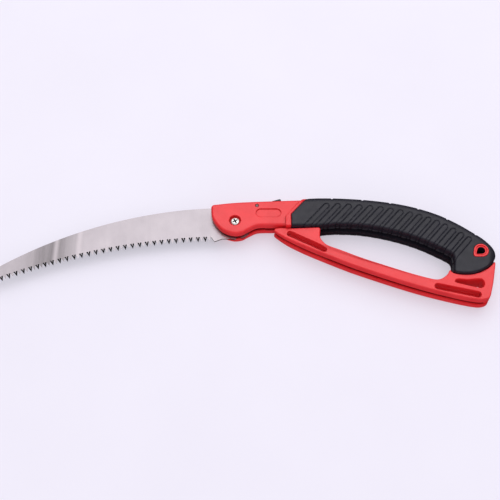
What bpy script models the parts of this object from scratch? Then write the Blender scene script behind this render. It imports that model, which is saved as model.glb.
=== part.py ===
"""Folding pruning saw with a curved blade, a two-shell handle and a hand guard.

The saw is drawn in a flat frame whose origin is the blade's pivot: X runs along the handle to its
butt, Y to the saw's back, and Z through its thickness.  Values below are millimetres and degrees.
At the end the whole saw is moved so that the origin is the bottom centre of its bounding box, with
the saw lying on one side.
"""
import math

import bmesh
import bpy
from mathutils import Matrix, Vector

MM = 0.001

# Clearances
GAP = 0.3
PARTING = 0.15

# Blade
BLADE_HALF = 0.65
SPINE_CENTRE = (-3.3, -390.9)
SPINE_RADIUS = 410.7
TOOTH_CENTRE = (-2.2, -593.3)
TOOTH_TIP_RADIUS = 574.5
TOOTH_DEPTH = 5.3
TOOTH_PITCH = 3.59
TOOTH_COUNT = 61
TOOTH_LEAN = 0.45
FIRST_TOOTH_X = -24.0
NOSE = [(-240.6, -68.0), (-240.2, -62.5), (-236.8, -55.6)]
HEEL = [(-5.7, -16.4), (-12.6, -16.5), (-20.3, -19.6)]
SPINE_END_X = -231.0
SPINE_TO = 93.2
TANG_RADIUS = 17.2
BLADE_BORE = 4.45
FOLD_ANGLE = 144.5
NOTCH_FLOOR = 15.2
NOTCH_FROM = 57.5
NOTCH_TO = 76.4

# Pivot
SLEEVE_RADIUS = 4.2
SLEEVE_BORE = 2.75
SLEEVE_HALF = 4.9
PIVOT_SHANK = 2.45
PIVOT_HEAD = 4.7
PIVOT_HEAD_HEIGHT = 2.6
PIVOT_HEAD_EDGE = 1.2
PIVOT_SEAT = 5.0
COUNTERBORE = 5.9
NUT_CORNER = 4.6
NUT_HEIGHT = 3.2
SHANK_SET_BACK = 0.4
WASHER_RADIUS = 8.0
WASHER_FROM = 1.0
WASHER_TO = 1.8

# Handle shells
SLOT_HALF = 2.1
SHELL_HALF = 9.2
SHELL_EDGE = 1.8
CORE_HALF = 8.8
CORE_INSET = 3.8
COLLAR_HALF = 12.0
COLLAR_EDGE = 1.0
BOLSTER_BACK = [(-20.5, 19.0), (2.6, 21.6), (38.0, 23.3), (69.0, 24.4)]
BOLSTER_REAR = [(53.0, 4.6), (53.0, -5.2)]
BOLSTER_FRONT = [(30.0, -5.2), (21.5, -6.0), (13.0, -10.4), (7.0, -13.9), (-1.0, -14.9), (-9.5, -12.2),
                 (-15.2, -8.0), (-20.4, -1.0), (-23.3, 6.0), (-24.0, 15.0)]
COLLAR = [(50.2, -7.3), (55.6, -7.3), (55.6, 5.7), (73.0, 26.5), (69.3, 26.2), (66.8, 23.3), (50.2, 3.6)]
PILL_ENDS = ((25.6, 8.8), (41.0, 8.8))
PILL_RADIUS = 4.9
PILL_DEPTH = 1.1

# Rubber grips: each station is a point on the back and the point across from it
GRIP_HALF = 12.5
BACK_CORNER = 8.5
BELLY_CORNER = 2.6
GRIP_STATIONS = [((48, 25.0), (48, -7.3)), ((64, 26.6), (64, -7.4)), ((84, 27.7), (81, -7.4)),
                 ((106, 27.4), (99, -5.6)), ((132, 25.5), (124, -6.6)), ((158, 21.8), (147, -10.8)),
                 ((180, 16.5), (168, -17.0)), ((202, 8.2), (185, -24.0)), ((219, -1.4), (198, -31.0)),
                 ((233, -11.3), (208.4, -37.2)), ((244.6, -20.6), (212.2, -41.2)),
                 ((252, -29.6), (212.6, -45.8)), ((254.3, -37.0), (211.9, -50.8)),
                 ((252.6, -46.0), (211.0, -57.0)), ((249.0, -58.0), (209.8, -66.0))]
BUTT_CENTRE = (222.3, -23.8)
BUTT_RADIUS = 37.0
RUBBER_SLOT = 3.3
GRIP_FRONT = [(55.9, -60.0), (55.9, 5.6), (100.9, 59.6)]

# Lanyard eye, a teardrop
EYE_CENTRE = (239.4, -36.0)
EYE_POINT = (230.8, -43.1)
EYE_OUTER = 7.1
EYE_HOLE = 3.8
EYE_HOLE_POINT = (234.0, -40.2)
EYE_HALF = 12.3
EYE_EDGE = 0.6

# Hand guard
GUARD_HALF = 9.2
GUARD_EDGE = 1.3
CHANNEL_HALF = 1.9
CHANNEL_CLEAR = 1.0
CHANNEL_END_X = 238.0
TONGUE_HALF = 1.75
TONGUE_RUN_OUT = 9.0
FRONT_TONGUE = ((58.0, -12.0), (79.0, 6.0))
REAR_TONGUE = ((217.0, -64.0), (238.0, -46.5))
GUARD_INNER = [(84.2, -10.0), (83.9, -14.0), (84.0, -19.5), (87.0, -24.8), (92.0, -28.8), (103.0, -33.4),
               (123.4, -42.3), (146.0, -50.9), (168.5, -59.1), (184.0, -64.0), (193.0, -66.2), (198.6, -65.2),
               (202.8, -62.3), (206.0, -59.2)]
GUARD_OUTER = [(244.0, -81.6), (242.2, -85.4), (238.0, -87.6), (231.0, -88.0), (215.5, -84.9), (187.5, -77.2),
               (160.0, -68.0), (122.0, -53.6), (103.0, -45.5), (74.0, -31.9), (55.0, -21.6), (45.6, -15.6),
               (40.6, -11.8), (38.9, -9.5), (40.6, -8.0)]
GUARD_REAR = [(252.0, -50.0), (247.6, -69.6)]
GUARD_CORNER = (82.8, -8.0)
FRONT_WINDOW = ((54.4, -14.5), (87.0, -32.7))
REAR_WINDOW = ((194.3, -73.9), (231.3, -82.6))
WINDOW_RADIUS = 3.3
TRIANGLE_WINDOW = [(210.4, -68.6), (212.0, -66.2), (214.8, -65.3), (223.2, -66.2), (232.9, -65.2),
                   (236.9, -65.4), (239.2, -68.2), (239.4, -71.6), (238.1, -74.8), (235.3, -76.0),
                   (232.7, -75.8), (222.4, -73.1), (212.4, -70.3)]

# Lock
LOCK_PIN_CENTRE = (21.9, 17.4)
LOCK_PIN_RADIUS = 1.9
LOCK_PIN_SET_BACK = 0.4
LEVER_HALF = 1.2
LEVER_OUTLINE = [(4.9, 20.0), (4.9, 16.9), (8.0, 15.8), (9.2, 18.2), (13.5, 17.2), (17.4, 14.2), (21.9, 12.9),
                 (28.0, 14.0), (45.6, 14.6), (46.2, 23.4), (46.2, 28.0), (45.0, 29.0), (37.2, 25.4),
                 (35.6, 21.8), (21.9, 21.4)]
TAB_OUTLINE = [(36.6, 24.0), (46.2, 24.4), (46.2, 28.2), (45.0, 29.0), (36.8, 26.3)]
TAB_HALF = 3.2
SPRING_CENTRE = (36.0, 7.4)
SPRING_TOP = 13.9
SPRING_RADIUS = 1.45
SPRING_WIRE = 0.3
SPRING_TURNS = 5

# Screws that close the handle and hold the guard, driven from the far side
SCREW_SHANK = 1.5
SCREW_HEAD = 3.0
SCREW_HEAD_HEIGHT = 2.0
SCREW_LENGTH = 13.0
SCREW_SEAT = 6.5
SCREW_TIP = 1.0
SCREW_TIP_TAPER = 0.5
SCREW_HEAD_EDGE = 0.7
SCREW_ROOM = 0.5
HANDLE_SCREWS = [(88.0, 12.0), (128.0, 8.0), (174.0, -2.0), (214.0, -24.0)]
GUARD_SCREW_FRONT = (68.5, -0.5)
GUARD_SCREW_REAR = (227.5, -51.5)
POCKETS = [(95.0, 121.0, 11.0), (135.0, 167.0, 4.0), (181.0, 205.0, -12.0)]
POCKET_DEPTH = 6.0
POCKET_HEIGHT = 11.0

# Cutters that pass right through, and a sheet that covers the whole saw
THROUGH = 40.0
SHEET = ((-100.0, -150.0), (320.0, 100.0))

RED = (0.80, 0.035, 0.045)
BLACK = (0.03, 0.03, 0.034)
STEEL = (0.66, 0.66, 0.67)
DARK_STEEL = (0.18, 0.18, 0.19)


# ---------------------------------------------------------------- outlines

def arc(centre, radius, start, end, steps):
    """Points along an arc, angles in degrees."""
    points = []
    for step in range(steps + 1):
        angle = math.radians(start + (end - start) * step / steps)
        points.append((centre[0] + radius * math.cos(angle), centre[1] + radius * math.sin(angle)))
    return points


def smooth(points, steps):
    """An open Catmull-Rom curve through the points."""
    ends = [points[0]] + list(points) + [points[-1]]
    curve = []
    for index in range(len(points) - 1):
        before, start, end, after = [Vector(p) for p in ends[index:index + 4]]
        for step in range(steps):
            t = step / steps
            curve.append(tuple(0.5 * (2 * start + (end - before) * t
                                      + (2 * before - 5 * start + 4 * end - after) * t * t
                                      + (3 * start - before - 3 * end + after) * t ** 3)))
    curve.append(tuple(points[-1]))
    return curve


def pill(ends, radius, steps=8):
    """A slot with round ends between two points."""
    (x0, y0), (x1, y1) = ends
    angle = math.degrees(math.atan2(y1 - y0, x1 - x0))
    first = arc((x0, y0), radius, angle + 90, angle + 270, steps)
    return first + arc((x1, y1), radius, angle - 90, angle + 90, steps)


def teardrop(centre, radius, point, steps=14):
    """A circle drawn out to a rounded point."""
    dx, dy = point[0] - centre[0], point[1] - centre[1]
    toward = math.degrees(math.atan2(dy, dx))
    open_half = math.degrees(math.acos(radius / math.hypot(dx, dy) / 1.12))
    return arc(centre, radius, toward + open_half, toward + 360 - open_half, steps) + [point]


def rectangle(low, high):
    return [low, (high[0], low[1]), high, (low[0], high[1])]


def turn(point, degrees, about=(0.0, 0.0)):
    angle = math.radians(degrees)
    x, y = point[0] - about[0], point[1] - about[1]
    return (about[0] + x * math.cos(angle) - y * math.sin(angle),
            about[1] + x * math.sin(angle) + y * math.cos(angle))


def on_circle(centre, radius, x):
    """The upper point of a circle at a given x."""
    return (x, centre[1] + math.sqrt(radius ** 2 - (x - centre[0]) ** 2))


# ---------------------------------------------------------------- objects

def start_scene():
    for old in list(bpy.data.objects):
        bpy.data.objects.remove(old, do_unlink=True)
    parts = bpy.data.collections.new("folding_pruning_saw")
    cutters = bpy.data.collections.new("cutters")
    bpy.context.scene.collection.children.link(parts)
    bpy.context.scene.collection.children.link(cutters)
    return parts, cutters


def material(name, colour, roughness, metallic):
    surface = bpy.data.materials.new(name)
    surface.use_nodes = True
    shader = surface.node_tree.nodes["Principled BSDF"]
    shader.inputs["Base Color"].default_value = (*colour, 1.0)
    shader.inputs["Roughness"].default_value = roughness
    shader.inputs["Metallic"].default_value = metallic
    return surface


class Maker:
    """Makes the saw's pieces in one collection and their cutters in another."""

    def __init__(self, parts, cutters, frame):
        self.parts = parts
        self.cutters = cutters
        self.frame = frame

    def link(self, name, mesh, colour=None, roughness=0.5, metallic=0.0, origin=(0.0, 0.0)):
        """Link a mesh as a piece, or as a cutter when it has no colour."""
        mesh.transform(Matrix.Translation((-origin[0] * MM, -origin[1] * MM, 0.0)))
        piece = bpy.data.objects.new(name, mesh)
        piece.location = (origin[0] * MM, origin[1] * MM, 0.0)
        piece.parent = self.frame
        if colour is None:
            self.cutters.objects.link(piece)
            piece.hide_render = True
            piece.display_type = "WIRE"
        else:
            self.parts.objects.link(piece)
            mesh.materials.clear()
            mesh.materials.append(material(name, colour, roughness, metallic))
        return piece

    def cut(self, piece, mesh, operation="DIFFERENCE"):
        """Add a Boolean with a cutter made from the mesh."""
        cutter = self.link(piece.name + "_cutter", mesh)
        step = piece.modifiers.new(operation.lower(), "BOOLEAN")
        step.operation = operation
        step.solver = "EXACT"
        step.object = cutter


def slab(loops, low, high, edge=0.0, segments=2):
    """A flat outline, with any holes, between two heights; its edges can be rounded."""
    curve = bpy.data.curves.new("outline", "CURVE")
    curve.dimensions = "2D"
    curve.fill_mode = "BOTH"
    curve.extrude = ((high - low) / 2 - edge) * MM
    curve.bevel_depth = edge * MM
    curve.bevel_resolution = segments - 1
    curve.offset = -edge * MM
    for loop in loops:
        spline = curve.splines.new("POLY")
        spline.points.add(len(loop) - 1)
        for point, (x, y) in zip(spline.points, loop):
            point.co = (x * MM, y * MM, 0.0, 1.0)
        spline.use_cyclic_u = True
    guide = bpy.data.objects.new("outline", curve)
    bpy.context.scene.collection.objects.link(guide)
    mesh = bpy.data.meshes.new_from_object(guide.evaluated_get(bpy.context.evaluated_depsgraph_get()))
    bpy.data.objects.remove(guide, do_unlink=True)
    bpy.data.curves.remove(curve)
    body = bmesh.new()
    body.from_mesh(mesh)
    bmesh.ops.remove_doubles(body, verts=body.verts, dist=1e-6)
    bmesh.ops.translate(body, verts=body.verts, vec=(0.0, 0.0, (low + high) / 2 * MM))
    bmesh.ops.recalc_face_normals(body, faces=body.faces)
    body.to_mesh(mesh)
    body.free()
    return mesh


def cylinder(centre, radius, low, high, segments=32):
    """A round or, with few segments, a many-sided bar along Z."""
    body = bmesh.new()
    place = Matrix.Translation((centre[0] * MM, centre[1] * MM, (low + high) / 2 * MM))
    bmesh.ops.create_cone(body, cap_ends=True, segments=segments, radius1=radius * MM, radius2=radius * MM,
                          depth=(high - low) * MM, matrix=place)
    mesh = bpy.data.meshes.new("bar")
    body.to_mesh(mesh)
    body.free()
    return mesh


def turned(name, maker, profile, centre, colour, roughness, metallic, steps=32, from_axis=False):
    """A profile of (radius, height) points turned about Z."""
    mesh = bpy.data.meshes.new("profile")
    edges = [(index, index + 1) for index in range(len(profile) - 1)]
    if not from_axis:
        edges.append((len(profile) - 1, 0))
    mesh.from_pydata([(r * MM, 0.0, z * MM) for r, z in profile], edges, [])
    piece = maker.link(name, mesh, colour, roughness, metallic)
    piece.location = (centre[0] * MM, centre[1] * MM, 0.0)
    screw = piece.modifiers.new("turn", "SCREW")
    screw.axis = "Z"
    screw.steps = steps
    screw.render_steps = steps
    screw.use_merge_vertices = True
    screw.merge_threshold = 0.00001
    return piece


def loft(rings):
    """A closed body through rings of points with equal counts."""
    body = bmesh.new()
    loops = [[body.verts.new(Vector(p) * MM) for p in ring] for ring in rings]
    count = len(rings[0])
    for first, second in zip(loops, loops[1:]):
        for index in range(count):
            after = (index + 1) % count
            body.faces.new((first[index], first[after], second[after], second[index]))
    body.faces.new(loops[0])
    body.faces.new(loops[-1])
    bmesh.ops.recalc_face_normals(body, faces=body.faces)
    mesh = bpy.data.meshes.new("loft")
    body.to_mesh(mesh)
    body.free()
    return mesh


# ---------------------------------------------------------------- blade and pivot

def tooth_line():
    """Tooth tips and gullets from the heel to the tip of the blade."""
    start = on_circle(TOOTH_CENTRE, TOOTH_TIP_RADIUS, FIRST_TOOTH_X)
    first = math.atan2(start[1] - TOOTH_CENTRE[1], FIRST_TOOTH_X - TOOTH_CENTRE[0])
    step = TOOTH_PITCH / TOOTH_TIP_RADIUS
    points = []
    for tooth in range(TOOTH_COUNT):
        gullet = first + step * tooth
        tip = gullet + step * TOOTH_LEAN
        for angle, radius in ((gullet, TOOTH_TIP_RADIUS + TOOTH_DEPTH), (tip, TOOTH_TIP_RADIUS)):
            x = TOOTH_CENTRE[0] + radius * math.cos(angle)
            y = TOOTH_CENTRE[1] + radius * math.sin(angle)
            points.append((x, y))
    return points


def notch(start, end):
    """The lock notch between two angles of the tang."""
    return [turn((TANG_RADIUS, 0), start), turn((NOTCH_FLOOR, 0), start + 0.6),
            turn((NOTCH_FLOOR, 0), end - 2.2), turn((TANG_RADIUS, 0), end)]


def blade_outline():
    teeth = tooth_line()
    start = on_circle(SPINE_CENTRE, SPINE_RADIUS, SPINE_END_X)
    spine_from = math.degrees(math.atan2(start[1] - SPINE_CENTRE[1], SPINE_END_X - SPINE_CENTRE[0]))
    spine = arc(SPINE_CENTRE, SPINE_RADIUS, spine_from, SPINE_TO, 22)
    nose = smooth([teeth[-1]] + NOSE + [spine[0]], 3)
    folded_from = NOTCH_FROM - FOLD_ANGLE
    folded_to = NOTCH_TO - FOLD_ANGLE
    tang = arc((0, 0), TANG_RADIUS, 100.0, NOTCH_TO + 2, 3)
    tang += notch(NOTCH_FROM, NOTCH_TO)[::-1]
    tang += arc((0, 0), TANG_RADIUS, NOTCH_FROM - 4, folded_to + 4, 14)
    tang += notch(folded_from, folded_to)[::-1]
    heel = [turn((TANG_RADIUS, 0), folded_from - 5)] + HEEL
    return teeth + nose[1:-1] + spine + tang + heel


def make_blade(maker):
    bore = arc((0, 0), BLADE_BORE, 0, 360, 32)[:-1]
    mesh = slab([blade_outline(), bore], -BLADE_HALF, BLADE_HALF)
    maker.link("blade", mesh, STEEL, 0.35, 1.0)


def make_pivot(maker):
    tube = [(SLEEVE_BORE, SLEEVE_HALF), (SLEEVE_RADIUS, SLEEVE_HALF),
            (SLEEVE_RADIUS, -SLEEVE_HALF), (SLEEVE_BORE, -SLEEVE_HALF)]
    turned("pivot_sleeve", maker, tube, (0, 0), STEEL, 0.3, 1.0)
    for name, side in (("near_pivot_washer", 1), ("far_pivot_washer", -1)):
        low, high = sorted((side * WASHER_FROM, side * WASHER_TO))
        ring = [(BLADE_BORE, high), (WASHER_RADIUS, high), (WASHER_RADIUS, low), (BLADE_BORE, low)]
        turned(name, maker, ring, (0, 0), STEEL, 0.3, 1.0)
    seat = PIVOT_SEAT + GAP
    top = seat + PIVOT_HEAD_HEIGHT
    nut_face = -seat
    shank_end = nut_face - NUT_HEIGHT + SHANK_SET_BACK
    screw = [(0, top), (PIVOT_HEAD - PIVOT_HEAD_EDGE, top), (PIVOT_HEAD, top - PIVOT_HEAD_EDGE),
             (PIVOT_HEAD, seat), (PIVOT_SHANK, seat), (PIVOT_SHANK, shank_end), (0, shank_end)]
    turned("pivot_screw", maker, screw, (0, 0), STEEL, 0.25, 1.0, from_axis=True)
    hexagon = cylinder((0, 0), NUT_CORNER, nut_face - NUT_HEIGHT, nut_face, 6)
    nut = maker.link("pivot_nut", hexagon, STEEL, 0.3, 1.0)
    maker.cut(nut, cylinder((0, 0), PIVOT_SHANK + GAP, -THROUGH, 0))


# ---------------------------------------------------------------- handle shells

def grip_line(side, inset):
    """The back (side 0) or belly (side 1) of the grip, moved inwards."""
    line = []
    for station in GRIP_STATIONS:
        own, other = Vector(station[side]), Vector(station[1 - side])
        line.append(tuple(own + (other - own).normalized() * inset))
    return line


def grip_outline(inset):
    """Outline of the grip from its front to the butt, ending on the guard's saddle."""
    back = smooth(grip_line(0, inset)[:-2], 2)
    belly = smooth(grip_line(1, inset)[:-1], 2)
    saddle = arc(BUTT_CENTRE, BUTT_RADIUS - inset, -103, -43, 6)
    return belly + saddle + back[::-1]


def bolster_outline():
    front = smooth(BOLSTER_FRONT, 3)
    back = smooth(BOLSTER_BACK, 2)
    corner = arc((-20.4, 15.4), 3.6, 176, 98, 4)
    return front[:-1] + corner + back[1:] + BOLSTER_REAR


def folded_tooth_centre():
    return turn(TOOTH_CENTRE, FOLD_ANGLE)


def channel_edge(start_x, end_x, steps):
    """The folded blade's tooth line with clearance, between two x positions."""
    centre = folded_tooth_centre()
    radius = TOOTH_TIP_RADIUS - CHANNEL_CLEAR
    angles = [math.degrees(math.atan2(-math.sqrt(radius ** 2 - (x - centre[0]) ** 2), x - centre[0]))
              for x in (start_x, end_x)]
    return arc(centre, radius, angles[0], angles[1], steps)


def bolster_slot():
    """Room for the tang, the blade's heel, the lock lever and its spring."""
    below = channel_edge(31.0, 60.0, 4)
    lever_room = [(31, 7.0), (40, 7.0), (40, 11.5), (50, 11.5), (48.5, 60), (-60, 60)]
    return [(-60, -60), (60, -60)] + below[::-1] + lever_room


def tongue_room(tongue):
    """Room for one of the guard's tongues."""
    (x0, y0), (x1, y1) = tongue
    room = rectangle((x0 - GAP, y0 - TONGUE_RUN_OUT), (x1 + GAP, y1 + GAP))
    return slab([room], -TONGUE_HALF - GAP, TONGUE_HALF + GAP)


def shell_blank(name, maker):
    """Bolster, collar, grip core and lanyard eye as one body, both halves together."""
    shell = maker.link(name, slab([bolster_outline()], -SHELL_HALF, SHELL_HALF, SHELL_EDGE), RED, 0.4, 0.0)
    maker.cut(shell, slab([grip_outline(CORE_INSET)], -CORE_HALF, CORE_HALF), "UNION")
    maker.cut(shell, slab([COLLAR], -COLLAR_HALF, COLLAR_HALF, COLLAR_EDGE), "UNION")
    eye = teardrop(EYE_CENTRE, EYE_OUTER, EYE_POINT)
    maker.cut(shell, slab([eye], -EYE_HALF, EYE_HALF, EYE_EDGE), "UNION")
    return shell


def screw_places():
    return HANDLE_SCREWS + [GUARD_SCREW_FRONT, GUARD_SCREW_REAR]


def make_shell(maker, side):
    """One shell; side 1 is the near shell and -1 the far one."""
    near = side > 0
    shell = shell_blank("near_shell" if near else "far_shell", maker)
    low, high = sorted((side * PARTING, -side * THROUGH))
    maker.cut(shell, slab([rectangle(*SHEET)], low, high))
    maker.cut(shell, slab([bolster_slot()], -SLOT_HALF, SLOT_HALF))
    for tongue in (FRONT_TONGUE, REAR_TONGUE):
        maker.cut(shell, tongue_room(tongue))
    for start, end, height in POCKETS:
        low, high = sorted((-side * 1, side * POCKET_DEPTH))
        room = rectangle((start, height - POCKET_HEIGHT / 2), (end, height + POCKET_HEIGHT / 2))
        maker.cut(shell, slab([room], low, high))
    hole = teardrop(EYE_CENTRE, EYE_HOLE, EYE_HOLE_POINT)
    maker.cut(shell, slab([hole], -THROUGH, THROUGH))
    maker.cut(shell, cylinder((0, 0), SLEEVE_RADIUS + GAP, -THROUGH, THROUGH))
    maker.cut(shell, cylinder(LOCK_PIN_CENTRE, LOCK_PIN_RADIUS + GAP, -THROUGH, THROUGH, 24))
    if near:
        maker.cut(shell, cylinder((0, 0), COUNTERBORE, PIVOT_SEAT, THROUGH, 40))
        maker.cut(shell, slab([pill(PILL_ENDS, PILL_RADIUS)], SHELL_HALF - PILL_DEPTH, THROUGH))
    else:
        maker.cut(shell, cylinder((0, 0), NUT_CORNER + GAP, -THROUGH, -PIVOT_SEAT, 6))
    for place in screw_places():
        if near:
            blind_end = SCREW_LENGTH - SCREW_SEAT + SCREW_ROOM
            maker.cut(shell, cylinder(place, SCREW_SHANK + GAP, -5, blind_end, 16))
        else:
            maker.cut(shell, cylinder(place, SCREW_SHANK + GAP, -THROUGH, 5, 16))
            maker.cut(shell, cylinder(place, SCREW_HEAD + GAP, -THROUGH, -SCREW_SEAT, 20))


# ---------------------------------------------------------------- rubber grips

def grip_ring(back, belly):
    """A rectangle across the grip between two points, its corners rounder at the back."""
    back, belly = Vector(back), Vector(belly)
    middle = (back + belly) / 2
    across = (back - belly).normalized()
    half = (back - belly).length / 2
    ring = []
    for quarter, (sign_y, sign_z) in enumerate(((1, 1), (-1, 1), (-1, -1), (1, -1))):
        corner = BACK_CORNER if sign_y > 0 else BELLY_CORNER
        for step in range(5):
            angle = math.radians(90 * quarter + 90 * step / 4)
            y = sign_y * (half - corner) + corner * math.cos(angle)
            z = sign_z * (GRIP_HALF - corner) + corner * math.sin(angle)
            spot = middle + across * y
            ring.append((spot.x, spot.y, z))
    return ring


def grip_stations():
    """The grip's stations with one more, on a smooth curve, between each pair."""
    backs = smooth([s[0] for s in GRIP_STATIONS], 2)
    bellies = smooth([s[1] for s in GRIP_STATIONS], 2)
    return list(zip(backs, bellies))


def chevron_front():
    """All that lies in front of the grip's slanted front edge."""
    return [(-60, -60)] + GRIP_FRONT + [(-60, 59.6)]


def belly_strip():
    """A strip along the grip's belly, where the two rubbers leave a slot."""
    inner = smooth(grip_line(1, CORE_INSET + 1.5)[2:11], 3)[1:-1]
    outer = smooth(grip_line(1, -4.0)[2:11], 3)[1:-1]
    return inner + outer[::-1]


def make_grip(maker, side):
    near = side > 0
    rings = [grip_ring(back, belly) for back, belly in grip_stations()]
    grip = maker.link("near_grip" if near else "far_grip", loft(rings), BLACK, 0.6, 0.0)
    low, high = sorted((side * PARTING, -side * THROUGH))
    maker.cut(grip, slab([rectangle(*SHEET)], low, high))
    maker.cut(grip, slab([chevron_front()], -THROUGH, THROUGH))
    below = arc(BUTT_CENTRE, BUTT_RADIUS, -135, -25, 18) + [(290, -40), (290, -120), (190, -120)]
    maker.cut(grip, slab([below], -THROUGH, THROUGH))
    maker.cut(grip, slab([grip_outline(CORE_INSET - GAP)], -CORE_HALF - GAP, CORE_HALF + GAP))
    for tongue in (FRONT_TONGUE, REAR_TONGUE):
        maker.cut(grip, tongue_room(tongue))
    maker.cut(grip, slab([belly_strip()], -RUBBER_SLOT, RUBBER_SLOT))
    eye = teardrop(EYE_CENTRE, EYE_OUTER + GAP, (EYE_POINT[0] - 0.4, EYE_POINT[1] - 0.3))
    maker.cut(grip, slab([eye], -THROUGH, THROUGH))
    if not near:
        for place in screw_places():
            maker.cut(grip, cylinder(place, SCREW_HEAD + GAP, -THROUGH, -SCREW_SEAT, 20))


# ---------------------------------------------------------------- hand guard

def guard_outline():
    saddle = arc(BUTT_CENTRE, BUTT_RADIUS + GAP, -111.5, -38.5, 12)
    return [GUARD_CORNER] + smooth(GUARD_INNER, 2) + saddle + GUARD_REAR + smooth(GUARD_OUTER, 2)


def make_guard(maker):
    windows = [pill(FRONT_WINDOW, WINDOW_RADIUS), pill(REAR_WINDOW, WINDOW_RADIUS), TRIANGLE_WINDOW]
    body = slab([guard_outline()], -GUARD_HALF, GUARD_HALF, GUARD_EDGE)
    guard = maker.link("hand_guard", body, RED, 0.4, 0.0)
    for tongue in (FRONT_TONGUE, REAR_TONGUE):
        maker.cut(guard, slab([rectangle(*tongue)], -TONGUE_HALF, TONGUE_HALF), "UNION")
    channel = channel_edge(20.0, CHANNEL_END_X, 24) + [(CHANNEL_END_X, -130), (20, -130)]
    maker.cut(guard, slab([channel], -CHANNEL_HALF, CHANNEL_HALF))
    for window in windows:
        maker.cut(guard, slab([window], -THROUGH, THROUGH))
    for place in (GUARD_SCREW_FRONT, GUARD_SCREW_REAR):
        maker.cut(guard, cylinder(place, SCREW_SHANK + GAP, -THROUGH, THROUGH, 16))


# ---------------------------------------------------------------- lock and screws

def make_lock(maker):
    plate = slab([LEVER_OUTLINE], -LEVER_HALF, LEVER_HALF)
    lever = maker.link("lock_lever", plate, DARK_STEEL, 0.4, 1.0, origin=LOCK_PIN_CENTRE)
    maker.cut(lever, slab([TAB_OUTLINE], -TAB_HALF, TAB_HALF), "UNION")
    maker.cut(lever, cylinder(LOCK_PIN_CENTRE, LOCK_PIN_RADIUS + GAP, -THROUGH, THROUGH, 24))
    pin_half = SHELL_HALF - LOCK_PIN_SET_BACK
    pin = cylinder(LOCK_PIN_CENTRE, LOCK_PIN_RADIUS, -pin_half, pin_half, 24)
    maker.link("lock_pin", pin, STEEL, 0.35, 1.0)
    make_spring(maker)


def make_spring(maker):
    """A coil spring that stands on the shells' seat under the lever's rear arm."""
    curve = bpy.data.curves.new("lock_spring", "CURVE")
    curve.dimensions = "3D"
    curve.bevel_depth = SPRING_WIRE * MM
    curve.bevel_resolution = 1
    curve.use_fill_caps = True
    spline = curve.splines.new("POLY")
    per_turn = 10
    count = SPRING_TURNS * per_turn
    spline.points.add(count)
    low = SPRING_CENTRE[1] + SPRING_WIRE
    rise = SPRING_TOP - SPRING_WIRE - low
    for index, point in enumerate(spline.points):
        angle = 2 * math.pi * index / per_turn
        x = SPRING_CENTRE[0] + SPRING_RADIUS * math.cos(angle)
        y = low + rise * index / count
        z = SPRING_RADIUS * math.sin(angle)
        point.co = (x * MM, y * MM, z * MM, 1.0)
    spring = bpy.data.objects.new("lock_spring", curve)
    spring.parent = maker.frame
    maker.parts.objects.link(spring)
    curve.materials.append(material("lock_spring", STEEL, 0.3, 1.0))


def make_screws(maker):
    seat = -SCREW_SEAT - GAP
    top = seat - SCREW_HEAD_HEIGHT
    tip = SCREW_LENGTH - SCREW_SEAT
    profile = [(0, tip), (SCREW_SHANK - SCREW_TIP_TAPER, tip), (SCREW_SHANK, tip - SCREW_TIP),
               (SCREW_SHANK, seat), (SCREW_HEAD, seat), (SCREW_HEAD, top + SCREW_HEAD_EDGE),
               (SCREW_HEAD - SCREW_HEAD_EDGE, top), (0, top)]
    places = {"handle_screw_%d" % (index + 1): place for index, place in enumerate(HANDLE_SCREWS)}
    places["guard_screw_front"] = GUARD_SCREW_FRONT
    places["guard_screw_rear"] = GUARD_SCREW_REAR
    for name, place in places.items():
        turned(name, maker, profile, place, STEEL, 0.3, 1.0, steps=16, from_axis=True)


# ---------------------------------------------------------------- whole saw

def settle(frame, parts):
    """Move the saw so that the origin is the bottom centre of its bounding box."""
    bpy.context.view_layer.update()
    graph = bpy.context.evaluated_depsgraph_get()
    corners = []
    for piece in [item for item in parts.objects if item is not frame]:
        solid = piece.evaluated_get(graph)
        corners += [solid.matrix_world @ vertex.co for vertex in solid.to_mesh().vertices]
        solid.to_mesh_clear()
    low = [min(corner[axis] for corner in corners) for axis in range(3)]
    high = [max(corner[axis] for corner in corners) for axis in range(3)]
    frame.location = (-(low[0] + high[0]) / 2, -(low[1] + high[1]) / 2, -low[2])


def main():
    parts, cutters = start_scene()
    frame = bpy.data.objects.new("saw_frame", None)
    parts.objects.link(frame)
    maker = Maker(parts, cutters, frame)
    make_blade(maker)
    make_pivot(maker)
    for side in (1, -1):
        make_shell(maker, side)
        make_grip(maker, side)
    make_guard(maker)
    make_lock(maker)
    make_screws(maker)
    settle(frame, parts)


main()
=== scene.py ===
"""Looks of the folding pruning saw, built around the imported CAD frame.

Every piece is drawn in the saw's flat frame: millimetres, the blade's pivot at the origin, X along the
handle to its butt, Y to the saw's back and Z through its thickness, with the near side up.  A finished
mesh is then moved to the pivot's place in the CAD frame and scaled to metres.
"""
import math

import bmesh
import bpy
import numpy as np
from mathutils import Matrix, Vector


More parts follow.
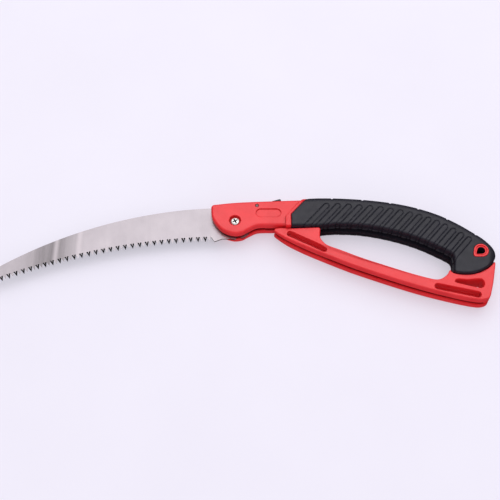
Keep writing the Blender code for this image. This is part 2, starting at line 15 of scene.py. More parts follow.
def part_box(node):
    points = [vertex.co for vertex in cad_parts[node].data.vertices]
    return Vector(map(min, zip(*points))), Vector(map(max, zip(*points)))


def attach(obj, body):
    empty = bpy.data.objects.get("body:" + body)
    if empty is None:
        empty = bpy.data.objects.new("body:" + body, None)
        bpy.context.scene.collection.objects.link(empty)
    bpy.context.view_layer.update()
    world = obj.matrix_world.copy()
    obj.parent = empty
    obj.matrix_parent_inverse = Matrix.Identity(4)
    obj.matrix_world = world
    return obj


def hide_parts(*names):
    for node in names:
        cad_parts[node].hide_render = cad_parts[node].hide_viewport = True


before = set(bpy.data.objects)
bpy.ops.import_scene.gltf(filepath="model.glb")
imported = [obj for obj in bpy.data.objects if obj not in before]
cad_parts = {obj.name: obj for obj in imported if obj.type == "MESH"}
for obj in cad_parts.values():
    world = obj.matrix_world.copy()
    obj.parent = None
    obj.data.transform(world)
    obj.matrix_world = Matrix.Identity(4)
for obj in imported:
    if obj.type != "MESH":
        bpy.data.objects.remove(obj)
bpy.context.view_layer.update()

MM = 0.001


def middle(node):
    low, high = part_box(node)
    return (low + high) / 2


PIVOT = middle("pivot_sleeve")
FLAT_FRAME = Matrix.Translation(PIVOT) @ Matrix.Scale(MM, 4)


def flat(point):
    """A point of the CAD frame in the saw's flat frame."""
    return (point - PIVOT) / MM


def flat_xy(node):
    return tuple(flat(middle(node)).xy)


def flat_box(node):
    low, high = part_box(node)
    return flat(low), flat(high)


# ---------------------------------------------------------------- driving dimensions, millimetres

GAP = 0.3
PARTING = 0.15

BLADE_HALF = 0.65
SPINE_CENTRE = (-3.3, -390.9)
SPINE_RADIUS = 410.7
SPINE_END_X = -231.0
TOOTH_CENTRE = (-2.2, -593.3)
TOOTH_TIP_RADIUS = 574.5
TOOTH_DEPTH = 5.3
TOOTH_PITCH = 3.59
TOOTH_COUNT = 61
TOOTH_LEAN = 0.45
TOOTH_SET = 0.3
TOOTH_BEVEL = 1.3
TOOTH_BEVEL_TIP = 2.7
TIP_THICKNESS = 0.25
FIRST_TOOTH_X = -24.0
TANG_RADIUS = 17.2
BLADE_BORE = 4.45
FOLD_ANGLE = 144.5
NOTCH_FLOOR = 15.2
NOTCH_FROM = 57.5
NOTCH_TO = 76.4
# Places along the blade of its two soft bands of painted highlight.
PAINTED_HIGHLIGHT_BANDS = (-176.0, -153.8)
NOSE = [(-240.6, -68.0), (-240.2, -62.5), (-236.8, -55.6)]
HEEL = [(-5.7, -16.4), (-12.6, -16.5), (-20.3, -19.6)]
SPINE_TO = 93.2

SHELL_HALF = 9.2
SHELL_EDGE = 2.5
SLOT_HALF = 2.1
CORE_HALF = 8.8
CORE_INSET = 3.8
COLLAR_HALF = 12.0
COLLAR_ROUND = 8.0
COLLAR_GROOVE = 0.6
BOLSTER_BACK = [(-20.5, 19.0), (2.6, 21.6), (38.0, 23.3), (69.0, 24.4)]
BOLSTER_REAR = [(53.0, 4.6), (53.0, -5.2)]
BOLSTER_FRONT = [(30.0, -5.2), (21.5, -6.0), (13.0, -10.4), (7.0, -13.9), (-1.0, -14.9), (-9.5, -12.2),
                 (-15.2, -8.0), (-20.4, -1.0), (-23.3, 6.0), (-24.0, 15.0)]
COLLAR = [(50.2, -7.3), (55.6, -7.3), (55.6, 5.7), (73.0, 26.5), (69.3, 26.2), (66.8, 23.3), (50.2, 3.6)]
PILL_ENDS = ((25.6, 8.8), (41.0, 8.8))
PILL_RADIUS = 4.9
PILL_DEPTH = 1.1
PILL_MOAT = 0.6
COUNTERBORE = 5.9
PIVOT_SEAT = 5.0

GRIP_HALF = 12.5
BACK_CORNER = 8.5
BELLY_CORNER = 2.6
GRIP_STATIONS = [((48, 25.0), (48, -7.3)), ((64, 26.6), (64, -7.4)), ((84, 27.7), (81, -7.4)),
                 ((106, 27.4), (99, -5.6)), ((132, 25.5), (124, -6.6)), ((158, 21.8), (147, -10.8)),
                 ((180, 16.5), (168, -17.0)), ((202, 8.2), (185, -24.0)), ((219, -1.4), (198, -31.0)),
                 ((233, -11.3), (208.4, -37.2)), ((244.6, -20.6), (212.2, -41.2)),
                 ((252, -29.6), (212.6, -45.8)), ((254.3, -37.0), (211.9, -50.8)),
                 ((252.6, -46.0), (211.0, -57.0)), ((249.0, -58.0), (209.8, -66.0))]
BUTT_CENTRE = (222.3, -23.8)
BUTT_RADIUS = 37.0
RUBBER_SLOT = 3.3
LIP_LEDGE = 0.75
LEDGE_TOP = RUBBER_SLOT + 1.4
CHEVRON = [(55.9, -60.0), (55.9, 5.6), (100.9, 59.6)]
RIB_COUNT = 16
RIB_PITCH = 8.65
RIB_ANGLE = 49.2
RIB_FIRST = 59.1
RIB_INSET = 12.8
RIB_HALF = 2.8
RIB_CROWN = 0.38
GROOVE_DEPTH = 0.62
GROOVE_HALF = 0.38
SPINE_NOTCHES = (97.5, 128.3, 156.0, 183.7, 211.5, 238.0)

EYE_CENTRE = (239.4, -36.0)
EYE_POINT = (230.8, -43.1)
EYE_OUTER = 7.1
EYE_HOLE = 3.8
EYE_HOLE_POINT = (234.0, -40.2)
EYE_TIP = 3.2
EYE_HALF = 12.3

GUARD_HALF = 9.2
GUARD_EDGE = 1.3
CHANNEL_HALF = 1.9
WINDOW_GROOVE = 1.1
WINDOW_RIB = 1.3
NOSE_TAPER = 0.45
NOSE_TAPER_NEAR = (84.0, 52.0)
NOSE_TAPER_FAR = (58.0, 24.0)
CHANNEL_CLEAR = 1.0
CHANNEL_END_X = 238.0
TONGUE_HALF = 1.75
TONGUE_RUN_OUT = 9
FRONT_TONGUE = ((58.0, -12.0), (79.0, 6.0))
REAR_TONGUE = ((217.0, -64.0), (238.0, -46.5))
GUARD_INNER = [(82.2, -8.0), (83.6, -8.5), (84.2, -10.0), (83.9, -14.0), (84.0, -19.5), (87.0, -24.8),
               (92.0, -28.8), (103.0, -33.4), (123.4, -42.3), (146.0, -50.9), (168.5, -59.1), (184.0, -64.0),
               (193.0, -66.2), (198.6, -65.2), (202.8, -62.3), (205.4, -59.4), (206.8, -56.8),
               (208.0, -56.2), (209.0, -57.8)]
GUARD_OUTER = [(244.0, -81.6), (242.2, -85.4), (238.0, -87.6), (231.0, -88.0), (215.5, -84.9), (187.5, -77.2),
               (160.0, -68.0), (122.0, -53.6), (103.0, -45.5), (74.0, -31.9), (55.0, -21.6), (45.6, -15.6),
               (40.6, -11.8), (38.9, -9.5), (40.6, -7.8), (45.0, -7.3), (49.2, -7.5), (51.5, -8.0)]
FRONT_WINDOW = ((54.4, -14.5), (87.0, -32.7))
REAR_WINDOW = ((194.3, -73.9), (231.3, -82.6))
WINDOW_RADIUS = 3.3
TRIANGLE_WINDOW = [(210.7, -68.4), (212.0, -66.5), (214.8, -65.7), (223.2, -66.6), (232.9, -65.6),
                   (236.9, -65.8), (238.8, -68.2), (239.0, -71.6), (237.8, -74.4), (235.3, -75.6),
                   (232.7, -75.4), (222.4, -72.7), (212.4, -69.9)]

GUARD_REAR = [(252.2, -48.2), (251.6, -52.0), (247.6, -69.6)]

LEVER_HALF = 1.2
LEVER_OUTLINE = [(4.9, 20.0), (4.9, 16.9), (8.0, 15.8), (9.2, 18.2), (13.5, 17.2), (17.4, 14.2), (21.9, 12.9),
                 (28.0, 14.0), (45.6, 14.6), (46.2, 23.4), (46.2, 28.0), (45.0, 29.0), (37.2, 25.4),
                 (35.6, 21.8), (21.9, 21.4)]
TAB_OUTLINE = [(36.6, 24.0), (46.2, 24.4), (46.2, 28.2), (45.0, 29.0), (36.8, 26.3)]
TAB_HALF = 3.2
LOCK_PIN_RADIUS = 1.9
LOCK_PIN_END = 1.5
LOCK_PIN_SHOULDER = 7.0
PIVOT_HEAD = 4.7
SLEEVE_BORE = 2.75
SLEEVE_ROOM = 4.5
PIVOT_SHANK = 2.45
NUT_CORNER = 4.6
SCREW_HEAD = 3.0
SCREW_SHANK = 1.5
SCREW_SEAT = 6.5
SPRING_RADIUS = 1.45
SPRING_WIRE = 0.3
SPRING_TURNS = 5

# Heights for cutters: one below the parting, and two that are past every face.
BELOW = -5
PAST = 20
THROUGH = 40

CAMERA_ELEVATION = 60
CAMERA_DISTANCE = 0.95
HALF_VIEW = 0.25
AIM_FROM_PIVOT = (0.01487, -0.02171)


# ---------------------------------------------------------------- outlines

def arc(centre, radius, start, end, steps):
    """Points along an arc, angles in degrees."""
    points = []
    for step in range(steps + 1):
        angle = math.radians(start + (end - start) * step / steps)
        points.append((centre[0] + radius * math.cos(angle), centre[1] + radius * math.sin(angle)))
    return points


def circle(centre, radius, steps=48):
    return arc(centre, radius, 0, 360, steps)[:-1]


def smooth(points, steps):
    """An open Catmull-Rom curve through the points."""
    ends = [points[0]] + list(points) + [points[-1]]
    curve = []
    for index in range(len(points) - 1):
        before, start, end, after = [Vector(p) for p in ends[index:index + 4]]
        for step in range(steps):
            t = step / steps
            curve.append(tuple(0.5 * (2 * start + (end - before) * t
                                      + (2 * before - 5 * start + 4 * end - after) * t * t
                                      + (3 * start - before - 3 * end + after) * t ** 3)))
    curve.append(tuple(points[-1]))
    return curve


def pill(ends, radius, steps=16):
    """A slot with round ends between two points."""
    (x0, y0), (x1, y1) = ends
    angle = math.degrees(math.atan2(y1 - y0, x1 - x0))
    first = arc((x0, y0), radius, angle + 90, angle + 270, steps)
    return first + arc((x1, y1), radius, angle - 90, angle + 90, steps)


def teardrop(centre, radius, point, steps=40, tip=1.2):
    """A circle drawn out to a point, which is rounded."""
    dx, dy = point[0] - centre[0], point[1] - centre[1]
    toward = math.degrees(math.atan2(dy, dx))
    open_half = math.degrees(math.acos(radius / math.hypot(dx, dy) / 1.12))
    loop = arc(centre, radius, toward + open_half, toward + 360 - open_half, steps)
    return rounded(loop + [point], tip, only=len(loop), steps=8)


def rounded(points, radius, only=None, steps=5):
    """A closed loop with its corners rounded, or only one of them."""
    loop = []
    count = len(points)
    for index in range(count):
        before, corner, after = [Vector(points[(index + k) % count]) for k in (-1, 0, 1)]
        back, ahead = before - corner, after - corner
        turn_angle = math.pi - back.angle(ahead)
        if (only is not None and index != only) or turn_angle < math.radians(8):
            loop.append(tuple(corner))
            continue
        reach = min(radius * math.tan(turn_angle / 2), back.length * 0.48, ahead.length * 0.48)
        start, end = corner + back.normalized() * reach, corner + ahead.normalized() * reach
        for step in range(steps + 1):
            t = step / steps
            loop.append(tuple(start * (1 - t) ** 2 + corner * 2 * t * (1 - t) + end * t * t))
    return loop


def rectangle(low, high):
    return [low, (high[0], low[1]), high, (low[0], high[1])]


def turn(point, degrees, about=(0.0, 0.0)):
    angle = math.radians(degrees)
    x, y = point[0] - about[0], point[1] - about[1]
    return (about[0] + x * math.cos(angle) - y * math.sin(angle),
            about[1] + x * math.sin(angle) + y * math.cos(angle))


def on_circle(centre, radius, x):
    """The upper point of a circle at a given x."""
    return (x, centre[1] + math.sqrt(radius ** 2 - (x - centre[0]) ** 2))


def anticlockwise(loop):
    points = np.array(loop, float)
    ahead = np.roll(points, -1, 0)
    area = np.sum(points[:, 0] * ahead[:, 1] - ahead[:, 0] * points[:, 1])
    return points if area > 0 else points[::-1]


def normals_of(points, closed=True):
    """Mitred normals that point to the right of the way along the points."""
    if closed:
        before, after = points - np.roll(points, 1, 0), np.roll(points, -1, 0) - points
    else:
        steps = np.diff(points, axis=0)
        before, after = np.vstack([steps[:1], steps]), np.vstack([steps, steps[-1:]])
    units = []
    for edge in (before, after):
        length = np.maximum(np.linalg.norm(edge, axis=1, keepdims=True), 1e-9)
        units.append(np.column_stack([edge[:, 1], -edge[:, 0]]) / length)
    along = 1 + np.sum(units[0] * units[1], axis=1, keepdims=True)
    return (units[0] + units[1]) / np.maximum(along, 0.5)


def distance_to(points, loop, closed=True):
    """Distance from each point to a loop or an open line, all flat."""
    line = np.array(loop, float)
    starts = line if closed else line[:-1]
    ends = np.roll(line, -1, 0) if closed else line[1:]
    nearest = np.full(len(points), 1e9)
    for start, end in zip(starts, ends):
        edge = end - start
        share = np.clip(((points - start) @ edge) / max(edge @ edge, 1e-12), 0, 1)
        nearest = np.minimum(nearest, np.linalg.norm(points - start - share[:, None] * edge, axis=1))
    return nearest


# ---------------------------------------------------------------- meshes

def mesh_of(points, faces):
    mesh = bpy.data.meshes.new("part")
    mesh.from_pydata([tuple(p) for p in points], [], faces)
    mesh.update()
    return mesh


def loft(rings):
    """A closed body through rings of points with equal counts."""
    count = len(rings[0])
    last = (len(rings) - 1) * count
    faces = []
    for low in range(0, last, count):
        for index in range(count):
            after = (index + 1) % count
            faces.append((low + index, low + after, low + count + after, low + count + index))
    faces.append(tuple(range(count))[::-1])
    faces.append(tuple(range(last, last + count)))
    return mesh_of(np.vstack(rings), faces)


def offset(points, normals, out):
    """A loop moved outwards. Where a tight corner would fold over, its points are drawn straight across."""
    moved = points + normals * out
    if out == 0:
        return moved
    good = distance_to(moved, points) > abs(out) * 0.93
    if good.all() or not good.any():
        return moved
    places = np.arange(len(points))
    kept = places[good]
    for axis in (0, 1):
        moved[:, axis] = np.interp(places, kept, moved[kept, axis], period=len(points))
    return moved


def solid(loop, profile):
    """A loop raised through a profile of (offset outwards, height) pairs."""
    points = anticlockwise(loop)
    normals = normals_of(points)
    rings = [np.column_stack([offset(points, normals, out), np.full(len(points), height)])
             for out, height in profile]
    return loft(rings)


def slab(loop, low, high):
    return solid(loop, [(0, low), (0, high)])


def fillet(edge, top, steps=6, side=-1):
    """Profile of an edge rounded up to the top, inwards; side 1 turns it outwards, for flared cutters."""
    angles = [math.pi / 2 * k / steps for k in range(steps + 1)]
    return [(side * edge * (1 - math.cos(a)), top - edge + edge * math.sin(a)) for a in angles]


def below(upper):
    """The mirror image of a profile in the middle plane, from its far end back."""
    return [(out, -height) for out, height in reversed(upper)]


def rounded_slab(loop, low, high, edge, foot=0.2):
    """A slab with a rounded upper edge and a fine chamfer at its foot."""
    return solid(loop, [(-foot, low), (0, low + foot)] + fillet(edge, high))


def pillow_slab(loop, half, edge, steps=6):
    """A slab about the middle plane with both edges rounded."""
    upper = fillet(edge, half, steps)
    return solid(loop, below(upper) + upper)


def flared(loop, low, high, flare):
    """A cutter that leaves a rounded lip where it comes out at the height called high."""
    return solid(loop, [(0, low)] + fillet(flare, high, 5, 1) + [(flare, high + 3)])


def both_flared(loop, half, flare):
    """The same, with a lip on each side of the middle plane."""
    upper = fillet(flare, half, 5, 1) + [(flare, half + 3)]
    return solid(loop, below(upper) + upper)


def sweep(path, section):
    """A section of (outwards, height) points moved along an open flat path."""
    points = np.array(path, float)
    normals = normals_of(points, closed=False)
    return outward(loft([np.array([(*(point + normal * out), height) for out, height in section])
                         for point, normal in zip(points, normals)]))


def outward(mesh):
    body = bmesh.new()
    body.from_mesh(mesh)
    bmesh.ops.recalc_face_normals(body, faces=body.faces)
    body.to_mesh(mesh)
    body.free()
    return mesh


def flip_z(mesh):
    """The mesh mirrored in the middle plane, for the far side."""
    mesh.transform(Matrix.Scale(-1, 4, (0, 0, 1)))
    mesh.flip_normals()
    return mesh


def turned(profile, centre, steps=64):
    """A closed profile of (radius, height), or one that starts and ends on the axis, turned about Z."""
    on_axis = profile[0][0] == 0
    section = profile[1:-1] if on_axis else profile
    count = len(section)
    points, faces = [], []
    for step in range(steps):
        angle = 2 * math.pi * step / steps
        points += [(centre[0] + radius * math.cos(angle), centre[1] + radius * math.sin(angle), height)
                   for radius, height in section]
    for step in range(steps):
        here, there = step * count, (step + 1) % steps * count
        for index in range(count - 1 if on_axis else count):
            after = (index + 1) % count
            faces.append((here + index, there + index, there + after, here + after))
    if on_axis:
        faces += [tuple(step * count + end for step in range(steps)) for end in (0, count - 1)]
    return outward(mesh_of(points, faces))


def placed(name, data):
    """A new object in the scene."""
    made = bpy.data.objects.new(name, data)
    bpy.context.scene.collection.objects.link(made)
    return made


def carve(mesh, *steps):
    """The mesh after Booleans, each given as (operation, mesh)."""
    work = placed("work", mesh)
    tools = []
    for operation, tool_mesh in steps:
        tools.append(placed("tool", tool_mesh))
        step = work.modifiers.new("step", "BOOLEAN")
        step.operation = operation
        step.solver = "MANIFOLD"
        step.object = tools[-1]
    bpy.context.view_layer.update()
    graph = bpy.context.evaluated_depsgraph_get()
    made = bpy.data.meshes.new_from_object(work.evaluated_get(graph))
    for item in [work] + tools:
        old = item.data
        bpy.data.objects.remove(item, do_unlink=True)
        bpy.data.meshes.remove(old)
    return made


def cut(*meshes):
    return [("DIFFERENCE", mesh) for mesh in meshes]


def add(*meshes):
    return [("UNION", mesh) for mesh in meshes]


def mark(mesh, test, index=1):
    """Give one of the materials to the faces whose centres and normals pass a test."""
    centres = np.array([face.center[:] for face in mesh.polygons])
    normals = np.array([face.normal[:] for face in mesh.polygons])
    marks = np.zeros(len(centres), int)
    if index > 1:
        mesh.polygons.foreach_get("material_index", marks)
    mesh.polygons.foreach_set("material_index", np.where(test(centres, normals), index, marks))
    return mesh


def piece(name, mesh, surfaces, body, nodes, sharp=32):
    """Finish a mesh as a visible piece that rides on a body and stands for CAD nodes."""
    mesh.name = name
    mesh.transform(FLAT_FRAME)
    made = placed(name, mesh)
    marks = np.zeros(len(mesh.polygons), int)
    mesh.polygons.foreach_get("material_index", marks)
    mesh.materials.clear()
    for surface in surfaces:
        mesh.materials.append(surface)
    mesh.polygons.foreach_set("material_index", np.minimum(marks, len(surfaces) - 1))
    mesh.shade_smooth()
    mesh.set_sharp_from_angle(angle=math.radians(sharp))
    weigh = made.modifiers.new("face_weighted_normals", "WEIGHTED_NORMAL")
    weigh.keep_sharp = True
    weigh.weight = 80
    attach(made, body)
    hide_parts(*nodes)
    return made


# ---------------------------------------------------------------- materials

def add_node(tree, kind, **inputs):
    """A shader node whose inputs are given by name, each as a value or as a socket to link."""
    node = tree.nodes.new("ShaderNode" + kind)
    if kind == "Mix":
        node.data_type = "RGBA"
    for name, value in inputs.items():
        socket = node.inputs[name.replace("_", " ")]
        if isinstance(value, bpy.types.NodeSocket):
            tree.links.new(value, socket)
        else:
            socket.default_value = value
    return node


class Surface:
    """A node material whose colour, roughness and bump come from procedural textures."""

    def __init__(self, name, metallic=0.0, specular=0.5):
        self.material = bpy.data.materials.new(name)
        self.material.use_nodes = True
        self.tree = self.material.node_tree
        self.shader = self.tree.nodes["Principled BSDF"]
        self.shader.inputs["Metallic"].default_value = metallic
        self.shader.inputs["Specular IOR Level"].default_value = specular
        self.where = add_node(self.tree, "TexCoord").outputs["Object"]
        self.height = None

    def stretched(self, scale, turn_z=0.0):
        """Object coordinates scaled along each axis."""
        return add_node(self.tree, "Mapping", Scale=scale, Rotation=(0, 0, turn_z),
                        Vector=self.where).outputs["Vector"]

    def noise(self, scale, detail=3.0, where=None):
        return add_node(self.tree, "TexNoise", Scale=scale, Detail=detail, Roughness=0.55,
                        Vector=where or self.where).outputs["Fac"]

    def spread(self, value, low, high, start=0.3, end=0.7):
        """A value mapped from one range to another."""
        return add_node(self.tree, "MapRange", From_Min=start, From_Max=end, To_Min=low, To_Max=high,
                        Value=value).outputs["Result"]

    def band(self, place, half, strength):
        """A soft band across the blade at a flat-frame x, full in its middle and gone at half a width; the
        blade's painted highlights and painted dark reflection are drawn with it.
        """
        split = add_node(self.tree, "SeparateXYZ", Vector=self.where)
        apart = self.math("SUBTRACT", split.outputs["X"], PIVOT.x + place * MM)
        mapper = add_node(self.tree, "MapRange", From_Max=half * MM, To_Min=strength, To_Max=0,
                          Value=self.math("ABSOLUTE", apart))
        mapper.interpolation_type = "SMOOTHSTEP"
        return mapper.outputs["Result"]

    def math(self, operation, value, other=0.0):
        node = add_node(self.tree, "Math")
        node.operation = operation
        self.tree.links.new(value, node.inputs[0])
        node.inputs[1].default_value = other
        return node.outputs["Value"]

    def mix(self, share, first, second):
        """Mix two colours; each is a tuple or a socket."""
        first, second = [(*one, 1.0) if isinstance(one, tuple) else one for one in (first, second)]
        return add_node(self.tree, "Mix", Factor=share, A=first, B=second).outputs["Result"]

    def mottle(self, scale, detail, dark, light, start=0.3, end=0.7):
        """Two colours in the patches of a noise."""
        return self.mix(self.spread(self.noise(scale, detail), 0, 1, start, end), dark, light)

    def finish(self, colour, roughness):
        """Link the colour, and a roughness given as a value with its range."""
        self.tree.links.new(colour, self.shader.inputs["Base Color"])
        self.tree.links.new(self.spread(*roughness), self.shader.inputs["Roughness"])

    def bump(self, socket, strength, depth):
        """Add a bump layer; depth is in metres."""
        bump = add_node(self.tree, "Bump", Strength=strength, Distance=depth, Height=socket)
        if self.height:
            self.tree.links.new(self.height, bump.inputs["Normal"])
        self.height = bump.outputs["Normal"]
        self.tree.links.new(self.height, self.shader.inputs["Normal"])


def red_plastic():
    """Glass-filled nylon with a fine spark-eroded grain and faint flow marks."""
    surface = Surface("red_moulded_plastic", specular=0.70)
    base = surface.mottle(45, 3, (0.71, 0.008, 0.012), (0.81, 0.014, 0.019))
    speck = surface.spread(surface.noise(900, 2), 0, 0.2)
    surface.finish(surface.mix(speck, base, (0.90, 0.05, 0.06)), (surface.noise(120, 4), 0.36, 0.47))
    surface.bump(surface.noise(2600, 3), 0.25, 0.00012)
    surface.bump(surface.noise(70, 2), 0.10, 0.0006)
    return surface.material


def painted_shade_plastic():
    """The same nylon inside the blade's slots and channel, darkened as painted shade."""
    surface = Surface("red_plastic_with_painted_shade", specular=0.3)
    base = surface.mottle(140, 4, (0.24, 0.004, 0.006), (0.40, 0.007, 0.010))
    surface.finish(base, (surface.noise(300, 4), 0.6, 0.8))
    surface.bump(surface.noise(2600, 3), 0.25, 0.00012)
    return surface.material


def black_rubber():
    """Matt thermoplastic rubber with a satin bloom and a leathery micro grain."""
    surface = Surface("black_soft_rubber", specular=0.49)
    base = surface.mottle(60, 4, (0.009, 0.009, 0.014), (0.014, 0.013, 0.021))
    speck = surface.spread(surface.noise(1400, 2), 0, 0.3)
    surface.finish(surface.mix(speck, base, (0.030, 0.029, 0.042)), (surface.noise(160, 4), 0.42, 0.56))
    surface.bump(surface.noise(3000, 3), 0.35, 0.00014)
    return surface.material


def blade_steel():
    """Cross-ground carbon steel: fine scratches across the blade and faint clouds, with a painted dark
    reflection toward the tip and two soft bands of painted highlight.
    """
    surface = Surface("ground_blade_steel", metallic=1.0)
    scratches = surface.noise(1.0, 4, surface.stretched((2600, 60, 60), 0.08))
    base = surface.mottle(55, 5, (0.420, 0.380, 0.411), (0.495, 0.450, 0.484))
    streaks = surface.noise(1.0, 2, surface.stretched((85, 3, 3)))
    # Painted reflection: a broad dark band round x = -181, toward the tip.
    base = surface.mix(surface.band(-181, 38, 0.92), base, (0.170, 0.154, 0.163))
    base = surface.mix(surface.spread(streaks, 0, 0.3, 0.45, 0.7), base, (0.53, 0.482, 0.510))
    # Painted highlights: two soft light bands across the blade.
    for place in PAINTED_HIGHLIGHT_BANDS:
        base = surface.mix(surface.band(place, 4.0, 0.62), base, (0.602, 0.541, 0.576))
    base = surface.mix(surface.spread(scratches, 0, 0.25), base, (0.627, 0.584, 0.623))
    surface.finish(base, (scratches, 0.32, 0.44))
    surface.bump(scratches, 0.12, 0.00004)
    surface.bump(surface.noise(28, 2), 0.08, 0.0008)
    return surface.material


def small_steel(name, dark, light, roughness, metallic=1.0):
    """Steel of the small parts: a crystalline mottle between two tones, with a fine grain."""
    surface = Surface(name, metallic=metallic)
    surface.finish(surface.mottle(500, 4, dark, light), (surface.noise(1200, 3), *roughness))
    surface.bump(surface.noise(2200, 3), 0.15, 0.00007)
    return surface.material


def floor_surface():
    surface = Surface("pale_paper_floor", specular=0.2)
    base = surface.mottle(6, 3, (0.40, 0.385, 0.425), (0.42, 0.405, 0.445))
    surface.finish(base, (surface.noise(400, 2), 0.7, 0.8))
    surface.shader.inputs["Emission Color"].default_value = (0.93, 0.90, 1.0, 1.0)
    surface.shader.inputs["Emission Strength"].default_value = 0.46
    return surface.material


# ---------------------------------------------------------------- blade

def angle_at(centre, radius, x):
    """Angle of the upper point of a circle at a given x."""
    return math.atan2(on_circle(centre, radius, x)[1] - centre[1], x - centre[0])


def teeth_points():
    """Gullets and tips of the teeth from the heel to the blade's tip, gullet first."""
    first = angle_at(TOOTH_CENTRE, TOOTH_TIP_RADIUS, FIRST_TOOTH_X)
    step = TOOTH_PITCH / TOOTH_TIP_RADIUS
    rows = []
    for lean, radius in ((0, TOOTH_TIP_RADIUS + TOOTH_DEPTH), (TOOTH_LEAN, TOOTH_TIP_RADIUS)):
        angles = [first + step * tooth + step * lean for tooth in range(TOOTH_COUNT)]
        rows.append([(TOOTH_CENTRE[0] + radius * math.cos(a), TOOTH_CENTRE[1] + radius * math.sin(a))
                     for a in angles])
    return rows


def lock_notch(start, end):
    """The lock notch between two angles of the tang."""
    return [turn((TANG_RADIUS, 0), start), turn((NOTCH_FLOOR, 0), start + 0.6),
            turn((NOTCH_FLOOR, 0), end - 2.2), turn((TANG_RADIUS, 0), end)]


def blade_body_line():
    """The blade's outline without its teeth, from the last tooth round to the heel."""
    last_tip = teeth_points()[1][-1]
    spine = arc(SPINE_CENTRE, SPINE_RADIUS, math.degrees(angle_at(SPINE_CENTRE, SPINE_RADIUS, SPINE_END_X)),
                SPINE_TO, 60)
    nose = smooth([last_tip] + NOSE + [spine[0]], 6)
    folded_from = NOTCH_FROM - FOLD_ANGLE
    folded_to = NOTCH_TO - FOLD_ANGLE
    tang = arc((0, 0), TANG_RADIUS, 100.0, NOTCH_TO + 2, 8) + lock_notch(NOTCH_FROM, NOTCH_TO)[::-1]
    tang += arc((0, 0), TANG_RADIUS, NOTCH_FROM - 4, folded_to + 4, 40)
    tang += lock_notch(folded_from, folded_to)[::-1]
    return nose[1:-1] + spine + tang + [turn((TANG_RADIUS, 0), folded_from - 5)] + HEEL


def make_blade(steel, dark):
    """Plate with teeth ground on alternate sides; each tooth leans out on the side of its cutting edges."""
    gullets, tips = teeth_points()
    body = bmesh.new()

    def vertex(point, height):
        return body.verts.new((point[0], point[1], height))

    def between(start, end, share):
        return (start[0] + (end[0] - start[0]) * share, start[1] + (end[1] - start[1]) * share)

    def wall(near, far):
        for index in range(len(near) - 1):
            body.faces.new((near[index], near[index + 1], far[index + 1], far[index]))

    bevel_faces = []
    rim = {1: [], -1: []}
    roots = {side: [vertex(g, side * BLADE_HALF) for g in gullets] for side in (1, -1)}
    for tooth in range(TOOTH_COUNT - 1):
        start, end, tip = gullets[tooth], gullets[tooth + 1], tips[tooth]
        side = 1 if tooth % 2 == 0 else -1
        bevel = TOOTH_BEVEL / math.dist(start, end)
        own = vertex(tip, side * (BLADE_HALF + TOOTH_SET) - side * TIP_THICKNESS)
        ground = vertex(between(tip, between(start, end, 0.5), TOOTH_BEVEL_TIP / TOOTH_DEPTH),
                        -side * BLADE_HALF + side * TOOTH_SET * 0.6)
        left = vertex(between(start, end, bevel), -side * BLADE_HALF)
        right = vertex(between(start, end, 1 - bevel), -side * BLADE_HALF)
        own_start, own_end = roots[side][tooth:tooth + 2]
        far_start, far_end = roots[-side][tooth:tooth + 2]
        body.faces.new((own_start, own, own_end))
        body.faces.new((left, right, ground))
        for corners in ((far_start, left, own_start), (left, ground, own, own_start),
                        (ground, right, own_end, own), (right, far_end, own_end)):
            bevel_faces.append(body.faces.new(corners))
        rim[side] += [own_start]
        rim[-side] += [far_start, left, right]
    line = blade_body_line()
    bore_points = circle((0, 0), BLADE_BORE, 64)
    bottom, top = 48, 16
    whole, bore = {}, {}
    for side in (1, -1):
        height = side * BLADE_HALF
        end_tip = vertex(tips[-1], height)
        whole[side] = rim[side] + [roots[side][-1], end_tip] + [vertex(p, height) for p in line]
        bore[side] = [vertex(p, height) for p in bore_points]
    edges = [whole[side][-len(line) - 2:] + whole[side][:1] for side in (1, -1)]
    wall(*edges)
    wall(*[bore[side] + bore[side][:1] for side in (1, -1)])
    for side in (1, -1):
        # A face can't hold a hole, so each side is two faces that meet above and below the bore.
        loop, ring = whole[side], bore[side]
        above, under = [min(range(len(loop)), key=lambda k: abs(loop[k].co.x) + (loop[k].co.y * way < 0) * 99)
                        for way in (1, -1)]
        body.faces.new(loop[above:under + 1] + ring[bottom:] + ring[:top + 1])
        body.faces.new(loop[under:] + loop[:above + 1] + ring[top:bottom + 1])
    bmesh.ops.recalc_face_normals(body, faces=body.faces)
    bmesh.ops.triangulate(body, faces=[f for f in body.faces if len(f.verts) > 4])
    for face in bevel_faces:
        if face.is_valid:
            face.material_index = 1
    mesh = bpy.data.meshes.new("blade")
    body.to_mesh(mesh)
    body.free()
    return piece("ground_saw_blade", mesh, [steel, dark], "blade", ["blade"], sharp=12)


# ---------------------------------------------------------------- handle shells

def grip_line(side, inset):
    """The back (side 0) or belly (side 1) of the grip, moved inwards."""
    line = []
    for station in GRIP_STATIONS:
        own, other = Vector(station[side]), Vector(station[1 - side])
        line.append(tuple(own + (other - own).normalized() * inset))
    return line


def grip_outline(inset):
    """Outline of the grip from its front to the butt, ending on the guard's saddle."""
    back = smooth(grip_line(0, inset)[:-2], 6)
    belly = smooth(grip_line(1, inset)[:-1], 6)
    saddle = arc(BUTT_CENTRE, BUTT_RADIUS - inset, -103, -43, 16)
    return belly + saddle + back[::-1]


def bolster_outline():
    front = smooth(BOLSTER_FRONT, 8)
    back = smooth(BOLSTER_BACK, 8)
    corner = arc((-20.4, 15.4), 3.6, 176, 98, 10)
    return front[:-1] + corner + back[1:] + BOLSTER_REAR


def channel_edge(start_x, end_x, steps):
    """The folded blade's tooth line with clearance, between two x positions."""
    centre = turn(TOOTH_CENTRE, FOLD_ANGLE)
    radius = TOOTH_TIP_RADIUS - CHANNEL_CLEAR
    angles = [math.degrees(math.atan2(-math.sqrt(radius ** 2 - (x - centre[0]) ** 2), x - centre[0]))
              for x in (start_x, end_x)]
    return arc(centre, radius, angles[0], angles[1], steps)


